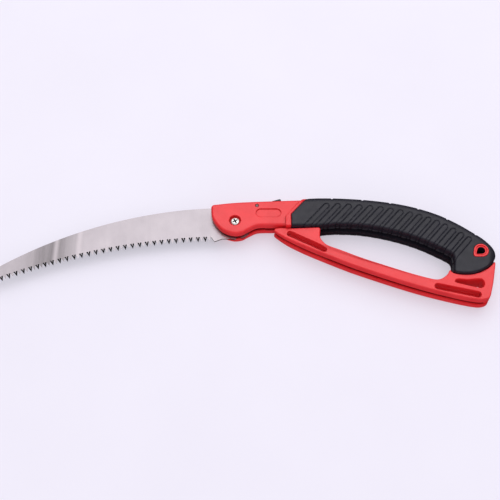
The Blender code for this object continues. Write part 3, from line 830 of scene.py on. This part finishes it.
def bolster_slot():
    """Room for the tang, the blade's heel, the lock lever and its spring."""
    lever_room = [(31, 7.0), (40, 7.0), (40, 11.5), (50, 11.5), (48.5, 60), (-60, 60)]
    return [(-60, -60), (60, -60)] + channel_edge(31.0, 60.0, 12)[::-1] + lever_room


def lip_section(half, edge, reach=1.0):
    """Section of a cutter that rounds both lips of a slot which opens through a wall."""
    upper = [(-edge + edge * math.sin(math.pi / 2 * k / 4),
              half + edge - edge * math.cos(math.pi / 2 * k / 4)) for k in range(5)]
    return upper + [(reach, half + edge), (reach, -half - edge)] + below(upper)


def tongue_room(tongue):
    (x0, y0), (x1, y1) = tongue
    room = rectangle((x0 - GAP, y0 - TONGUE_RUN_OUT), (x1 + GAP, y1 + GAP))
    return slab(room, -TONGUE_HALF - GAP, TONGUE_HALF + GAP)


def collar_mesh():
    """The slanted collar in front of the rubber, rounded down to the saw's back."""
    blank = rounded_slab(rounded(COLLAR, 0.8), PARTING, COLLAR_HALF, 1.0)
    rings = []
    for x, y in smooth([s[0] for s in GRIP_STATIONS[:4]], 6)[::3]:
        edge = y - 0.4
        section = [(-12.0, -1.0), (edge, -1.0)]
        section += arc((edge - COLLAR_ROUND, COLLAR_HALF - COLLAR_ROUND), COLLAR_ROUND, 0, 90, 8)
        section.append((-12.0, COLLAR_HALF))
        rings.append(np.array([(x, y_at, z) for y_at, z in section]))
    return carve(blank, ("INTERSECT", outward(loft(rings))))


def collar_groove():
    """Cutters for the fine groove that sets the collar off from the bolster."""
    front = [COLLAR[0], COLLAR[-1], COLLAR[-2]]
    wide = COLLAR_GROOVE
    return [slab([start, end, (end[0] - wide, end[1]), (start[0] - wide, start[1])],
                 SHELL_HALF - wide, SHELL_HALF + 1) for start, end in zip(front, front[1:])]


def eye_hole():
    return teardrop(EYE_CENTRE, EYE_HOLE, EYE_HOLE_POINT)


def eye_room():
    """Outline of the room that the rubber leaves round the eye."""
    return teardrop(EYE_CENTRE, EYE_OUTER + GAP, (EYE_POINT[0] - 0.4, EYE_POINT[1] - 0.3), tip=EYE_TIP)


def shell_mesh(near):
    """One shell, drawn with its face up; the far one is mirrored afterwards."""
    eye_outer = teardrop(EYE_CENTRE, EYE_OUTER, EYE_POINT, tip=EYE_TIP)
    eye_floor = teardrop(EYE_CENTRE, EYE_OUTER - 1.5, (EYE_POINT[0] + 1.6, EYE_POINT[1] + 1.3), tip=EYE_TIP)
    eye_boss = teardrop(EYE_CENTRE, EYE_HOLE + 1.0, (EYE_HOLE_POINT[0] - 1.0, EYE_HOLE_POINT[1] - 0.8))
    boss_top = EYE_HALF - 0.5
    pin = flat_xy("lock_pin")
    steps = add(slab(grip_outline(CORE_INSET), PARTING, CORE_HALF), collar_mesh(),
                rounded_slab(eye_outer, PARTING, EYE_HALF, 0.6))
    steps += cut(slab(bolster_slot(), BELOW, SLOT_HALF),
                 sweep(smooth(BOLSTER_FRONT, 8), lip_section(SLOT_HALF, 0.5)),
                 tongue_room(FRONT_TONGUE), tongue_room(REAR_TONGUE),
                 flared(eye_floor, EYE_HALF - 1.3, EYE_HALF, 0.3))
    steps += add(rounded_slab(eye_boss, PARTING, boss_top, 0.3))
    steps += cut(flared(eye_hole(), BELOW, boss_top, 0.4),
                 *collar_groove(),
                 slab(circle((0, 0), SLEEVE_ROOM), BELOW, PAST),
                 slab(circle(pin, LOCK_PIN_RADIUS + GAP, 32), BELOW, LOCK_PIN_SHOULDER + GAP),
                 flared(circle(pin, LOCK_PIN_END + 0.35, 32), BELOW, SHELL_HALF, 0.3))
    if near:
        pill_floor = SHELL_HALF - PILL_DEPTH
        steps += cut(flared(circle((0, 0), COUNTERBORE, 64), PIVOT_SEAT, SHELL_HALF, 0.5),
                     flared(pill(PILL_ENDS, PILL_RADIUS), pill_floor - PILL_MOAT, SHELL_HALF, 0.45))
        steps += add(slab(pill(PILL_ENDS, PILL_RADIUS - 0.65), 2.0 + SLOT_HALF, pill_floor))
    else:
        steps += cut(flared(circle((0, 0), NUT_CORNER + 0.4, 6), PIVOT_SEAT, SHELL_HALF, 0.4))
        for node in SCREWS:
            steps += cut(slab(circle(flat_xy(node), SCREW_SHANK + GAP, 24), BELOW, PAST),
                         slab(circle(flat_xy(node), SCREW_HEAD + GAP, 32), SCREW_SEAT, PAST))
    return carve(rounded_slab(bolster_outline(), PARTING, SHELL_HALF, SHELL_EDGE), *steps)


def line_walls(mesh):
    """Give rubber, the second material, to the lanyard hole's wall and the core's belly wall."""
    belly = smooth(grip_line(1, CORE_INSET), 6)
    return mark(mesh, lambda centres, normals: (np.abs(normals[:, 2]) < 0.1)
                & ((distance_to(centres[:, :2], eye_hole()) < 0.15)
                   | (distance_to(centres[:, :2], belly, closed=False) < 0.2)))


def paint_slot_shade(mesh):
    """Give the third material, a darker red of painted shade, to the walls of the bolster's slot."""
    return mark(mesh, lambda centres, normals: (np.abs(centres[:, 2] - SLOT_HALF) < 0.02)
                & (np.abs(normals[:, 2]) > 0.9), 2)


def make_shells(red, rubber, slot_shade_paint):
    for side, near in (("near", True), ("far", False)):
        # Painted shade: the slot's walls get the darker red as their third material.
        shell = paint_slot_shade(line_walls(shell_mesh(near)))
        piece("moulded_shell_" + side, shell if near else flip_z(shell), [red, rubber, slot_shade_paint], "handle",
              [side + "_shell"])


# ---------------------------------------------------------------- rubber grips

def rib_places():
    """For each rib its place across the ribs and where its round top end is centred along them."""
    lean = math.radians(RIB_ANGLE)
    along = np.array((math.cos(lean), math.sin(lean)))
    across = np.array((math.sin(lean), -math.cos(lean)))
    tops = np.array(smooth(grip_line(0, RIB_INSET), 30))
    ribs = []
    for rib in range(RIB_COUNT):
        place = RIB_FIRST + rib * RIB_PITCH
        top = tops[np.argmin(np.abs(tops @ across - place))]
        ribs.append((place, top @ along))
    return along, across, ribs


def rib_relief(points):
    """Height of the ribs and their outlines over the grip's skin, by flat position."""
    along, across, ribs = rib_places()
    place, reach = points @ across, points @ along
    nearest = np.full(len(points), 99.0)
    upper_side = np.zeros(len(points), bool)
    for rib_place, top in ribs:
        apart = np.hypot(place - rib_place, np.maximum(reach - top, 0))
        upper_side = np.where(apart < nearest, place < rib_place, upper_side)
        nearest = np.minimum(nearest, apart)
    groove = -GROOVE_DEPTH * np.exp(-((nearest - RIB_HALF) / GROOVE_HALF) ** 2)
    groove *= np.where(upper_side, 1.25, 0.85)
    crown = RIB_CROWN * np.sqrt(np.clip(1 - (nearest / (RIB_HALF - 0.2)) ** 2, 0, 1))
    return groove + crown


def butt_saddle(steps):
    return arc(BUTT_CENTRE, BUTT_RADIUS, -135, -25, steps)


def edge_drop(distance, radius):
    """How far a surface falls towards an edge that is rounded to a radius."""
    left = np.clip(radius - distance, 0, radius)
    return radius - np.sqrt(radius ** 2 - left ** 2)


def section_of(half):
    """Half a section of the grip: back wall and round corner, flat top, tighter corner and belly wall."""
    skin_top = GRIP_HALF - RIB_CROWN
    sides = []
    for side, radius, wall, corner in ((1, BACK_CORNER, 9, 30), (-1, BELLY_CORNER, 26, 16)):
        low = skin_top - radius
        heights = PARTING + (low - PARTING) * np.arange(wall) / wall
        if side < 0:
            ledge = int(np.argmin(np.abs(heights - LEDGE_TOP)))
            heights[ledge:ledge + 2] = LEDGE_TOP, LEDGE_TOP + 0.28
        points = [(half, height) for height in heights]
        for k in range(corner):
            angle = math.pi / 2 * k / corner
            points.append((half - radius + radius * math.cos(angle), low + radius * math.sin(angle)))
        points += [((half - radius) * (1 - k / 20), skin_top) for k in range(20)]
        sides.append([(side * y, z) for y, z in points])
    return np.array(sides[0] + sides[1][::-1])


def grip_skin(wall_relief):
    """The near grip's outer body: a dense loft with ribs, notches and rounded edges pressed into it."""
    steps = 40
    backs = np.array(smooth([s[0] for s in GRIP_STATIONS], steps))
    bellies = np.array(smooth([s[1] for s in GRIP_STATIONS], steps))
    lengths = [np.concatenate([[0], np.cumsum(np.linalg.norm(np.diff(line, axis=0), axis=1))])
               for line in (backs, bellies)]
    mean = (lengths[0] + lengths[1]) / 2
    stations = int(mean[-1] / 0.46)
    wanted = np.linspace(0, mean[-1], stations)
    share = np.interp(wanted, mean, np.arange(len(mean)))
    order = np.arange(len(mean))
    back = np.column_stack([np.interp(share, order, backs[:, k]) for k in (0, 1)])
    belly = np.column_stack([np.interp(share, order, bellies[:, k]) for k in (0, 1)])
    along_back = np.interp(share, order, lengths[0])
    centre = (back + belly) / 2
    half = np.linalg.norm(back - belly, axis=1) / 2
    unit = (back - belly) / (2 * half)[:, None]
    grid = []
    for index in range(stations):
        section = section_of(half[index])
        crown = 0.35 * (section[:, 0] / half[index]) ** 4 * (section[:, 1] / GRIP_HALF) ** 2
        flat_points = centre[index] + unit[index] * section[:, :1]
        grid.append(np.column_stack([flat_points, section[:, 1] - crown]))
    grid = np.array(grid)
    along = np.gradient(grid, axis=0)
    around = np.gradient(grid, axis=1)
    normal = np.cross(around, along)
    normal /= np.maximum(np.linalg.norm(normal, axis=2, keepdims=True), 1e-9)
    if normal[stations // 2, grid.shape[1] // 2, 2] < 0:
        normal = -normal
    count = grid.shape[1]
    points = grid.reshape(-1, 3)
    plan = points[:, :2]
    from_belly = np.array([section_of(width)[:, 0] + width for width in half]).reshape(-1)
    ribs = rib_relief(plan)
    relief = ribs * (1 - (1 - wall_relief) * np.clip((6 - from_belly) / 4, 0, 1))
    back_share = np.clip((grid[:, :, 2] - 3) / 9, 0, 1)
    belly_side = section_of(half[0])[:, 0] < 0
    on_back = ~belly_side[None, :] * (1 - back_share ** 2)
    notches = np.zeros((stations, count))
    for x in SPINE_NOTCHES:
        place = np.interp(x, back[:, 0], along_back)
        notches -= 1.15 * np.exp(-((along_back[:, None] - place) / 0.95) ** 4) * on_back
    relief += notches.reshape(-1)
    drops = [edge_drop(distance_to(plan, CHEVRON, closed=False), 0.9)]
    drops.append(edge_drop(distance_to(plan, butt_saddle(40), closed=False), 2.0))
    drops.append(edge_drop(distance_to(plan, eye_room()), 0.5))
    relief -= np.maximum.reduce(drops)
    belly_half = np.tile(belly_side, stations)
    over_slot = points[:, 2] - RUBBER_SLOT
    relief -= edge_drop(np.maximum(over_slot, 0), 0.6) * belly_half * (over_slot < 2)
    relief += LIP_LEDGE * np.clip(1 + 1.6 * ribs, 0.1, 1) * (points[:, 2] < LEDGE_TOP + 0.04) * belly_half
    relief -= edge_drop(np.maximum(points[:, 2] - PARTING, 0), 0.35) * ~belly_half * (points[:, 2] < 3)
    points = points + normal.reshape(-1, 3) * relief[:, None]
    points[:, 2] = np.maximum(points[:, 2], PARTING)
    rings = points.reshape(stations, count, 3)
    rings[:, 0, 2] = PARTING
    rings[:, -1, 2] = PARTING
    return outward(loft(list(rings)))


def belly_strip():
    """A strip along the grip's belly, where the two rubbers leave a slot."""
    inner = smooth(grip_line(1, CORE_INSET + 1.5)[2:11], 6)[2:-2]
    outer = smooth(grip_line(1, -4.0)[2:11], 6)[2:-2]
    return inner + outer[::-1]


def grip_mesh(near):
    front = CHEVRON + [(-60, 59.6), (-60, -60)]
    under_butt = butt_saddle(60) + [(290, -40), (290, -120), (190, -120)]
    steps = cut(slab(front, -THROUGH, THROUGH), slab(under_butt, -THROUGH, THROUGH),
                slab(grip_outline(CORE_INSET - GAP), BELOW, CORE_HALF + GAP),
                tongue_room(FRONT_TONGUE), tongue_room(REAR_TONGUE),
                slab(belly_strip(), BELOW, RUBBER_SLOT),
                slab(eye_room(), -THROUGH, THROUGH))
    if not near:
        for node in SCREWS:
            steps += cut(flared(circle(flat_xy(node), SCREW_HEAD + GAP, 32), SCREW_SEAT, GRIP_HALF + 0.05,
                                0.5))
    return carve(grip_skin(0.9 if near else 0.25), *steps)


def make_grips(rubber):
    for side, near in (("near", True), ("far", False)):
        grip = grip_mesh(near)
        piece("rubber_grip_" + side, grip if near else flip_z(grip), [rubber], "handle",
              [side + "_grip"], sharp=50)


# ---------------------------------------------------------------- hand guard

def guard_outline():
    saddle = arc(BUTT_CENTRE, BUTT_RADIUS + GAP, -108.8, -38.5, 30)
    rear = smooth([saddle[-1]] + GUARD_REAR, 4)[1:]
    return smooth(GUARD_INNER, 6) + saddle + rear + smooth(GUARD_OUTER, 6)


def window_groove(ends):
    """The blade channel's continuation in the back wall of a window."""
    moved = [(x + 0.4, y + WINDOW_GROOVE) for x, y in ends]
    return slab(pill(moved, WINDOW_RADIUS), -WINDOW_GROOVE, WINDOW_GROOVE)


def window_rib(ends):
    """A rib on a window's outer wall that backs the lips of the blade channel."""
    start, end = Vector(ends[0]), Vector(ends[1])
    out = Vector((end.y - start.y, start.x - end.x)).normalized()
    inner, outer = out * (WINDOW_RADIUS - WINDOW_RIB), out * (WINDOW_RADIUS + 0.4)
    past = (end - start).normalized() * 2.2
    start, end = start - past, end + past
    loop = [tuple(p) for p in (start + inner, end + inner, end + outer, start + outer)]
    return slab(loop, -CHANNEL_HALF - 0.9, CHANNEL_HALF + 0.9)


def taper_nose(mesh):
    """Thin the guard towards its front end."""
    for vertex in mesh.vertices:
        begin, length = NOSE_TAPER_NEAR if vertex.co.z > 0 else NOSE_TAPER_FAR
        share = min(max((begin - vertex.co.x) / length, 0.0), 1.0)
        lip = CHANNEL_HALF + 0.5
        beyond = max(abs(vertex.co.z) - lip, 0.0)
        vertex.co.z -= math.copysign(beyond * NOSE_TAPER * share * share * (3 - 2 * share), vertex.co.z)


def paint_channel_shade(mesh):
    """Give the second material, a darker red of painted shade, to the walls and the floor of the blade
    channel.
    """
    edge = channel_edge(20.0, CHANNEL_END_X, 60)
    return mark(mesh, lambda centres, normals: (distance_to(centres[:, :2], edge, closed=False) < 0.05)
                | ((np.abs(np.abs(centres[:, 2]) - CHANNEL_HALF) < 0.02) & (np.abs(normals[:, 2]) > 0.9)))


def make_guard(red, slot_shade_paint):
    whole = pillow_slab(guard_outline(), GUARD_HALF, GUARD_EDGE)
    taper_nose(whole)
    tongues = [slab(rectangle(*tongue), -TONGUE_HALF, TONGUE_HALF) for tongue in (FRONT_TONGUE, REAR_TONGUE)]
    channel = channel_edge(20.0, CHANNEL_END_X, 60) + [(CHANNEL_END_X, -130), (20, -130)]
    triangle = rounded(TRIANGLE_WINDOW, 1.6)
    windows = FRONT_WINDOW, REAR_WINDOW
    steps = add(*tongues)
    steps += cut(*[both_flared(pill(ends, WINDOW_RADIUS), GUARD_HALF, 0.6) for ends in windows],
                 *[window_groove(ends) for ends in windows],
                 both_flared(triangle, GUARD_HALF, 0.8))
    steps += add(*[window_rib(ends) for ends in windows])
    steps += cut(slab(channel, -CHANNEL_HALF, CHANNEL_HALF),
                 sweep(smooth(GUARD_OUTER, 6)[8:], lip_section(CHANNEL_HALF, 0.45)))
    for node in ("guard_screw_front", "guard_screw_rear"):
        steps += cut(slab(circle(flat_xy(node), SCREW_SHANK + GAP, 24), -PAST, PAST))
    # Painted shade: the blade channel's walls and floor get the darker red.
    guard = paint_channel_shade(carve(whole, *steps))
    piece("moulded_hand_guard", guard, [red, slot_shade_paint], "handle", ["hand_guard"])


# ---------------------------------------------------------------- hardware

def cross_recess(centre, width, length, top, depth, angle=0.0):
    """A tapered cross that a Phillips driver fits."""
    arms = []
    for extra in (0, 90):
        corners = [(-length, -width), (length, -width), (length, width), (-length, width)]
        upper = [turn(p, angle + extra) for p in corners]
        lower = [turn((x * 0.45, y * 0.55), angle + extra) for x, y in corners]
        rings = []
        for loop, height in ((lower, top - depth), (upper, top), (upper, top + 2)):
            rings.append(np.array([(centre[0] + x, centre[1] + y, height) for x, y in loop]))
        arms.append(outward(loft(rings)))
    return arms


def domed_head(radius, seat, height, edge=0.35, steps=8):
    """Profile of a pan head from its top centre to its seat."""
    points = [(0, seat + height)]
    for k in range(1, steps + 1):
        angle = math.pi / 2 * k / steps
        points.append((radius * math.sin(angle) ** 0.75, seat + height * (0.42 + 0.58 * math.cos(angle))))
    return points + [(radius, seat + edge), (radius - edge, seat)]


def make_pivot(bright, zinc, oxide):
    low, high = flat_box("pivot_screw")
    seat = PIVOT_SEAT + GAP
    head = domed_head(PIVOT_HEAD, seat, high.z - seat)
    profile = head + [(PIVOT_SHANK, seat), (PIVOT_SHANK, low.z + 0.4), (PIVOT_SHANK - 0.4, low.z), (0, low.z)]
    screw = carve(turned(profile, (0, 0), 72), *cut(*cross_recess((0, 0), 0.72, 2.9, high.z, 2.2, 28)))
    # Painted shade: the walls of the cross recess get the dark oxide steel.
    mark(screw, lambda centres, normals: (centres[:, 2] > seat) & (centres[:, 2] < high.z - 0.35)
         & (np.hypot(centres[:, 0], centres[:, 1]) < 3.1))
    piece("pan_head_pivot_screw", screw, [bright, oxide], "handle", ["pivot_screw"])

    low, high = flat_box("pivot_nut")
    hexagon = circle((0, 0), NUT_CORNER, 6)
    chamfer = [(-0.45, low.z), (0, low.z + 0.3), (0, high.z - 0.3), (-0.45, high.z)]
    nut = carve(solid(hexagon, chamfer), *cut(slab(circle((0, 0), PIVOT_SHANK + GAP), -PAST, 0)))
    piece("hex_pivot_nut", nut, [bright], "handle", ["pivot_nut"])

    low, high = flat_box("pivot_sleeve")
    inner, outer = SLEEVE_BORE, high.x
    tube = [(inner, high.z - 0.2), (inner + 0.2, high.z), (outer - 0.3, high.z), (outer, high.z - 0.3),
            (outer, low.z + 0.3), (outer - 0.3, low.z), (inner + 0.2, low.z), (inner, low.z + 0.2)]
    piece("turned_pivot_sleeve", turned(tube, (0, 0)), [zinc], "handle", ["pivot_sleeve"])

    for side in ("near", "far"):
        node = side + "_pivot_washer"
        low, high = flat_box(node)
        inner, outer = BLADE_BORE, high.x
        ring = [(inner, high.z), (outer - 0.15, high.z), (outer, high.z - 0.15), (outer, low.z + 0.15),
                (outer - 0.15, low.z), (inner, low.z)]
        piece("thrust_washer_" + side, turned(ring, (0, 0)), [zinc], "handle", [node])


SCREWS = ["handle_screw_%d" % number for number in range(1, 5)] + ["guard_screw_front", "guard_screw_rear"]


def make_screws(zinc):
    for node in SCREWS:
        low, high = flat_box(node)
        centre = flat_xy(node)
        seat = SCREW_SEAT + GAP
        profile = domed_head(SCREW_HEAD, seat, -low.z - seat, 0.2) + [(SCREW_SHANK, seat)]
        thread_from, thread_to, pitch = seat - 1.0, -high.z + 1.2, 1.2
        turns = int((thread_from - thread_to) / pitch)
        for k in range(turns):
            z = thread_from - pitch * k
            profile += [(SCREW_SHANK - 0.3, z - 0.35), (SCREW_SHANK, z - 0.6), (SCREW_SHANK - 0.3, z - 0.85)]
        profile += [(SCREW_SHANK - 0.5, -high.z + 0.4), (0.3, -high.z), (0, -high.z)]
        screw = carve(turned(profile, centre, 32), *cut(*cross_recess(centre, 0.4, 1.7, -low.z, 1.2, 20)))
        piece("cross_head_" + node, flip_z(screw), [zinc], "handle", [node])


def make_lock(oxide, rivet, zinc):
    pin = flat_xy("lock_pin")
    tab = pillow_slab(rounded(TAB_OUTLINE, 0.5), TAB_HALF, 0.5)
    grooves = []
    for k in range(4):
        x = 39.4 + 1.7 * k
        y = 26.9 + 0.33 * (x - 37.8)
        grooves.append(slab(circle((x, y + 0.35), 0.45, 12), -TAB_HALF - 1, TAB_HALF + 1))
    steps = add(tab) + cut(slab(circle(pin, LOCK_PIN_RADIUS + GAP, 48), -PAST, PAST), *grooves)
    lever = carve(pillow_slab(rounded(LEVER_OUTLINE, 0.5), LEVER_HALF, 0.25, 3), *steps)
    piece("stamped_lock_lever", lever, [oxide], "lock_lever", ["lock_lever"])

    top, shoulder = SHELL_HALF - 0.35, LOCK_PIN_SHOULDER
    upper = [(LOCK_PIN_END - 0.2, top), (LOCK_PIN_END, top - 0.2), (LOCK_PIN_END, shoulder),
             (LOCK_PIN_RADIUS - 0.2, shoulder), (LOCK_PIN_RADIUS, shoulder - 0.2)]
    ends = [(0, top)] + upper + below(upper) + [(0, -top)]
    piece("rivet_lock_pin", turned(ends, pin, 40), [rivet], "handle", ["lock_pin"])

    low, high = flat_box("lock_spring")
    centre_x = (low.x + high.x) / 2
    bottom, top = low.y + SPRING_WIRE, high.y - SPRING_WIRE
    per_turn, around = 24, 10
    count = SPRING_TURNS * per_turn
    rings = []
    for index in range(count + 1):
        share = index / count
        angle = 2 * math.pi * index / per_turn
        eased = share + 0.35 / (2 * math.pi) * math.sin(-2 * math.pi * share)
        outward_way = Vector((math.cos(angle), 0, math.sin(angle)))
        heart = Vector((centre_x, bottom + (top - bottom) * eased, 0)) + outward_way * SPRING_RADIUS
        ring = []
        for k in range(around):
            turned_by = 2 * math.pi * k / around
            ring.append(heart + SPRING_WIRE * (outward_way * math.cos(turned_by)
                                               + Vector((0, 1, 0)) * math.sin(turned_by)))
        rings.append(np.array(ring))
    piece("lock_return_spring", outward(loft(rings)), [zinc], "handle", ["lock_spring"],
          sharp=60)


# ---------------------------------------------------------------- stage

def make_floor():
    mesh = bpy.data.meshes.new("floor")
    body = bmesh.new()
    bmesh.ops.create_grid(body, x_segments=8, y_segments=8, size=4.0)
    body.to_mesh(mesh)
    body.free()
    floor = placed("floor", mesh)
    mesh.materials.append(floor_surface())
    floor.visible_glossy = False


def area_light(name, place, target, size, power, colour=(1, 1, 1)):
    data = bpy.data.lights.new(name, "AREA")
    data.shape = "RECTANGLE"
    data.size, data.size_y = size
    data.energy = power
    data.color = colour
    lamp = placed(name, data)
    lamp.location = place
    lamp.rotation_euler = (Vector(target) - Vector(place)).to_track_quat("-Z", "Y").to_euler()
    return lamp


def make_lights():
    """A pale sky that is dark below the horizon, a large softbox behind and one overhead."""
    world = bpy.data.worlds.new("studio")
    bpy.context.scene.world = world
    world.use_nodes = True
    tree = world.node_tree
    split = add_node(tree, "SeparateXYZ", Vector=add_node(tree, "TexCoord").outputs["Generated"])
    horizon = add_node(tree, "MapRange", From_Min=-0.1, From_Max=0.15, Value=split.outputs["Z"])
    shade = add_node(tree, "Mix", Factor=horizon.outputs["Result"], A=(0.10, 0.09, 0.10, 1.0),
                     B=(0.92, 0.91, 1.0, 1.0))
    sky = tree.nodes["Background"]
    tree.links.new(shade.outputs["Result"], sky.inputs["Color"])
    sky.inputs["Strength"].default_value = 0.62
    world.cycles_visibility.glossy = False
    area_light("softbox_back", (0.2, 0.95, 1.35), (0, 0, 0), (2.4, 1.6), 16.5, (1.0, 0.985, 0.99))
    area_light("softbox_top", (-0.1, -0.1, 1.6), (0, 0, 0), (2.2, 1.8), 8.5, (0.98, 0.98, 1.0))
    fill = area_light("fill_front", (0.0, -1.5, 0.5), (0, 0, 0), (2.5, 1.0), 5.5)
    fill.visible_glossy = False


def make_camera():
    """The camera looks down at the flat saw from the front."""
    elevation = math.radians(CAMERA_ELEVATION)
    aim = Vector((PIVOT.x + AIM_FROM_PIVOT[0], PIVOT.y + AIM_FROM_PIVOT[1], 0))
    data = bpy.data.cameras.new("camera")
    data.angle = 2 * math.atan(HALF_VIEW / CAMERA_DISTANCE)
    camera = placed("camera", data)
    camera.location = aim + Vector((0, -math.cos(elevation), math.sin(elevation))) * CAMERA_DISTANCE
    camera.rotation_euler = (math.pi / 2 - elevation, 0, 0)
    bpy.context.scene.camera = camera


def main():
    make_camera()
    make_floor()
    make_lights()
    bpy.context.scene.view_settings.view_transform = "Standard"
    red = red_plastic()
    rubber = black_rubber()
    zinc = small_steel("zinc_plated_steel", (0.46, 0.47, 0.49), (0.58, 0.58, 0.58), (0.26, 0.42))
    oxide = small_steel("black_oxide_steel", (0.028, 0.028, 0.030), (0.065, 0.064, 0.068), (0.34, 0.50), 0.7)
    bright = small_steel("bright_plated_steel", (0.76, 0.74, 0.72), (0.90, 0.88, 0.86), (0.20, 0.32))
    bevels = small_steel("hardened_tooth_bevels", (0.012, 0.011, 0.012), (0.030, 0.027, 0.028),
                         (0.36, 0.55), 0.8)
    rivet = small_steel("burnished_rivet_steel", (0.17, 0.14, 0.14), (0.24, 0.20, 0.20), (0.42, 0.56))
    make_blade(blade_steel(), bevels)
    # Painted shade: a darker red for the walls inside the bolster's slot and the guard's blade channel.
    slot_shade_paint = painted_shade_plastic()
    make_shells(red, rubber, slot_shade_paint)
    make_grips(rubber)
    make_guard(red, slot_shade_paint)
    make_pivot(bright, zinc, oxide)
    make_screws(zinc)
    make_lock(oxide, rivet, zinc)


main()
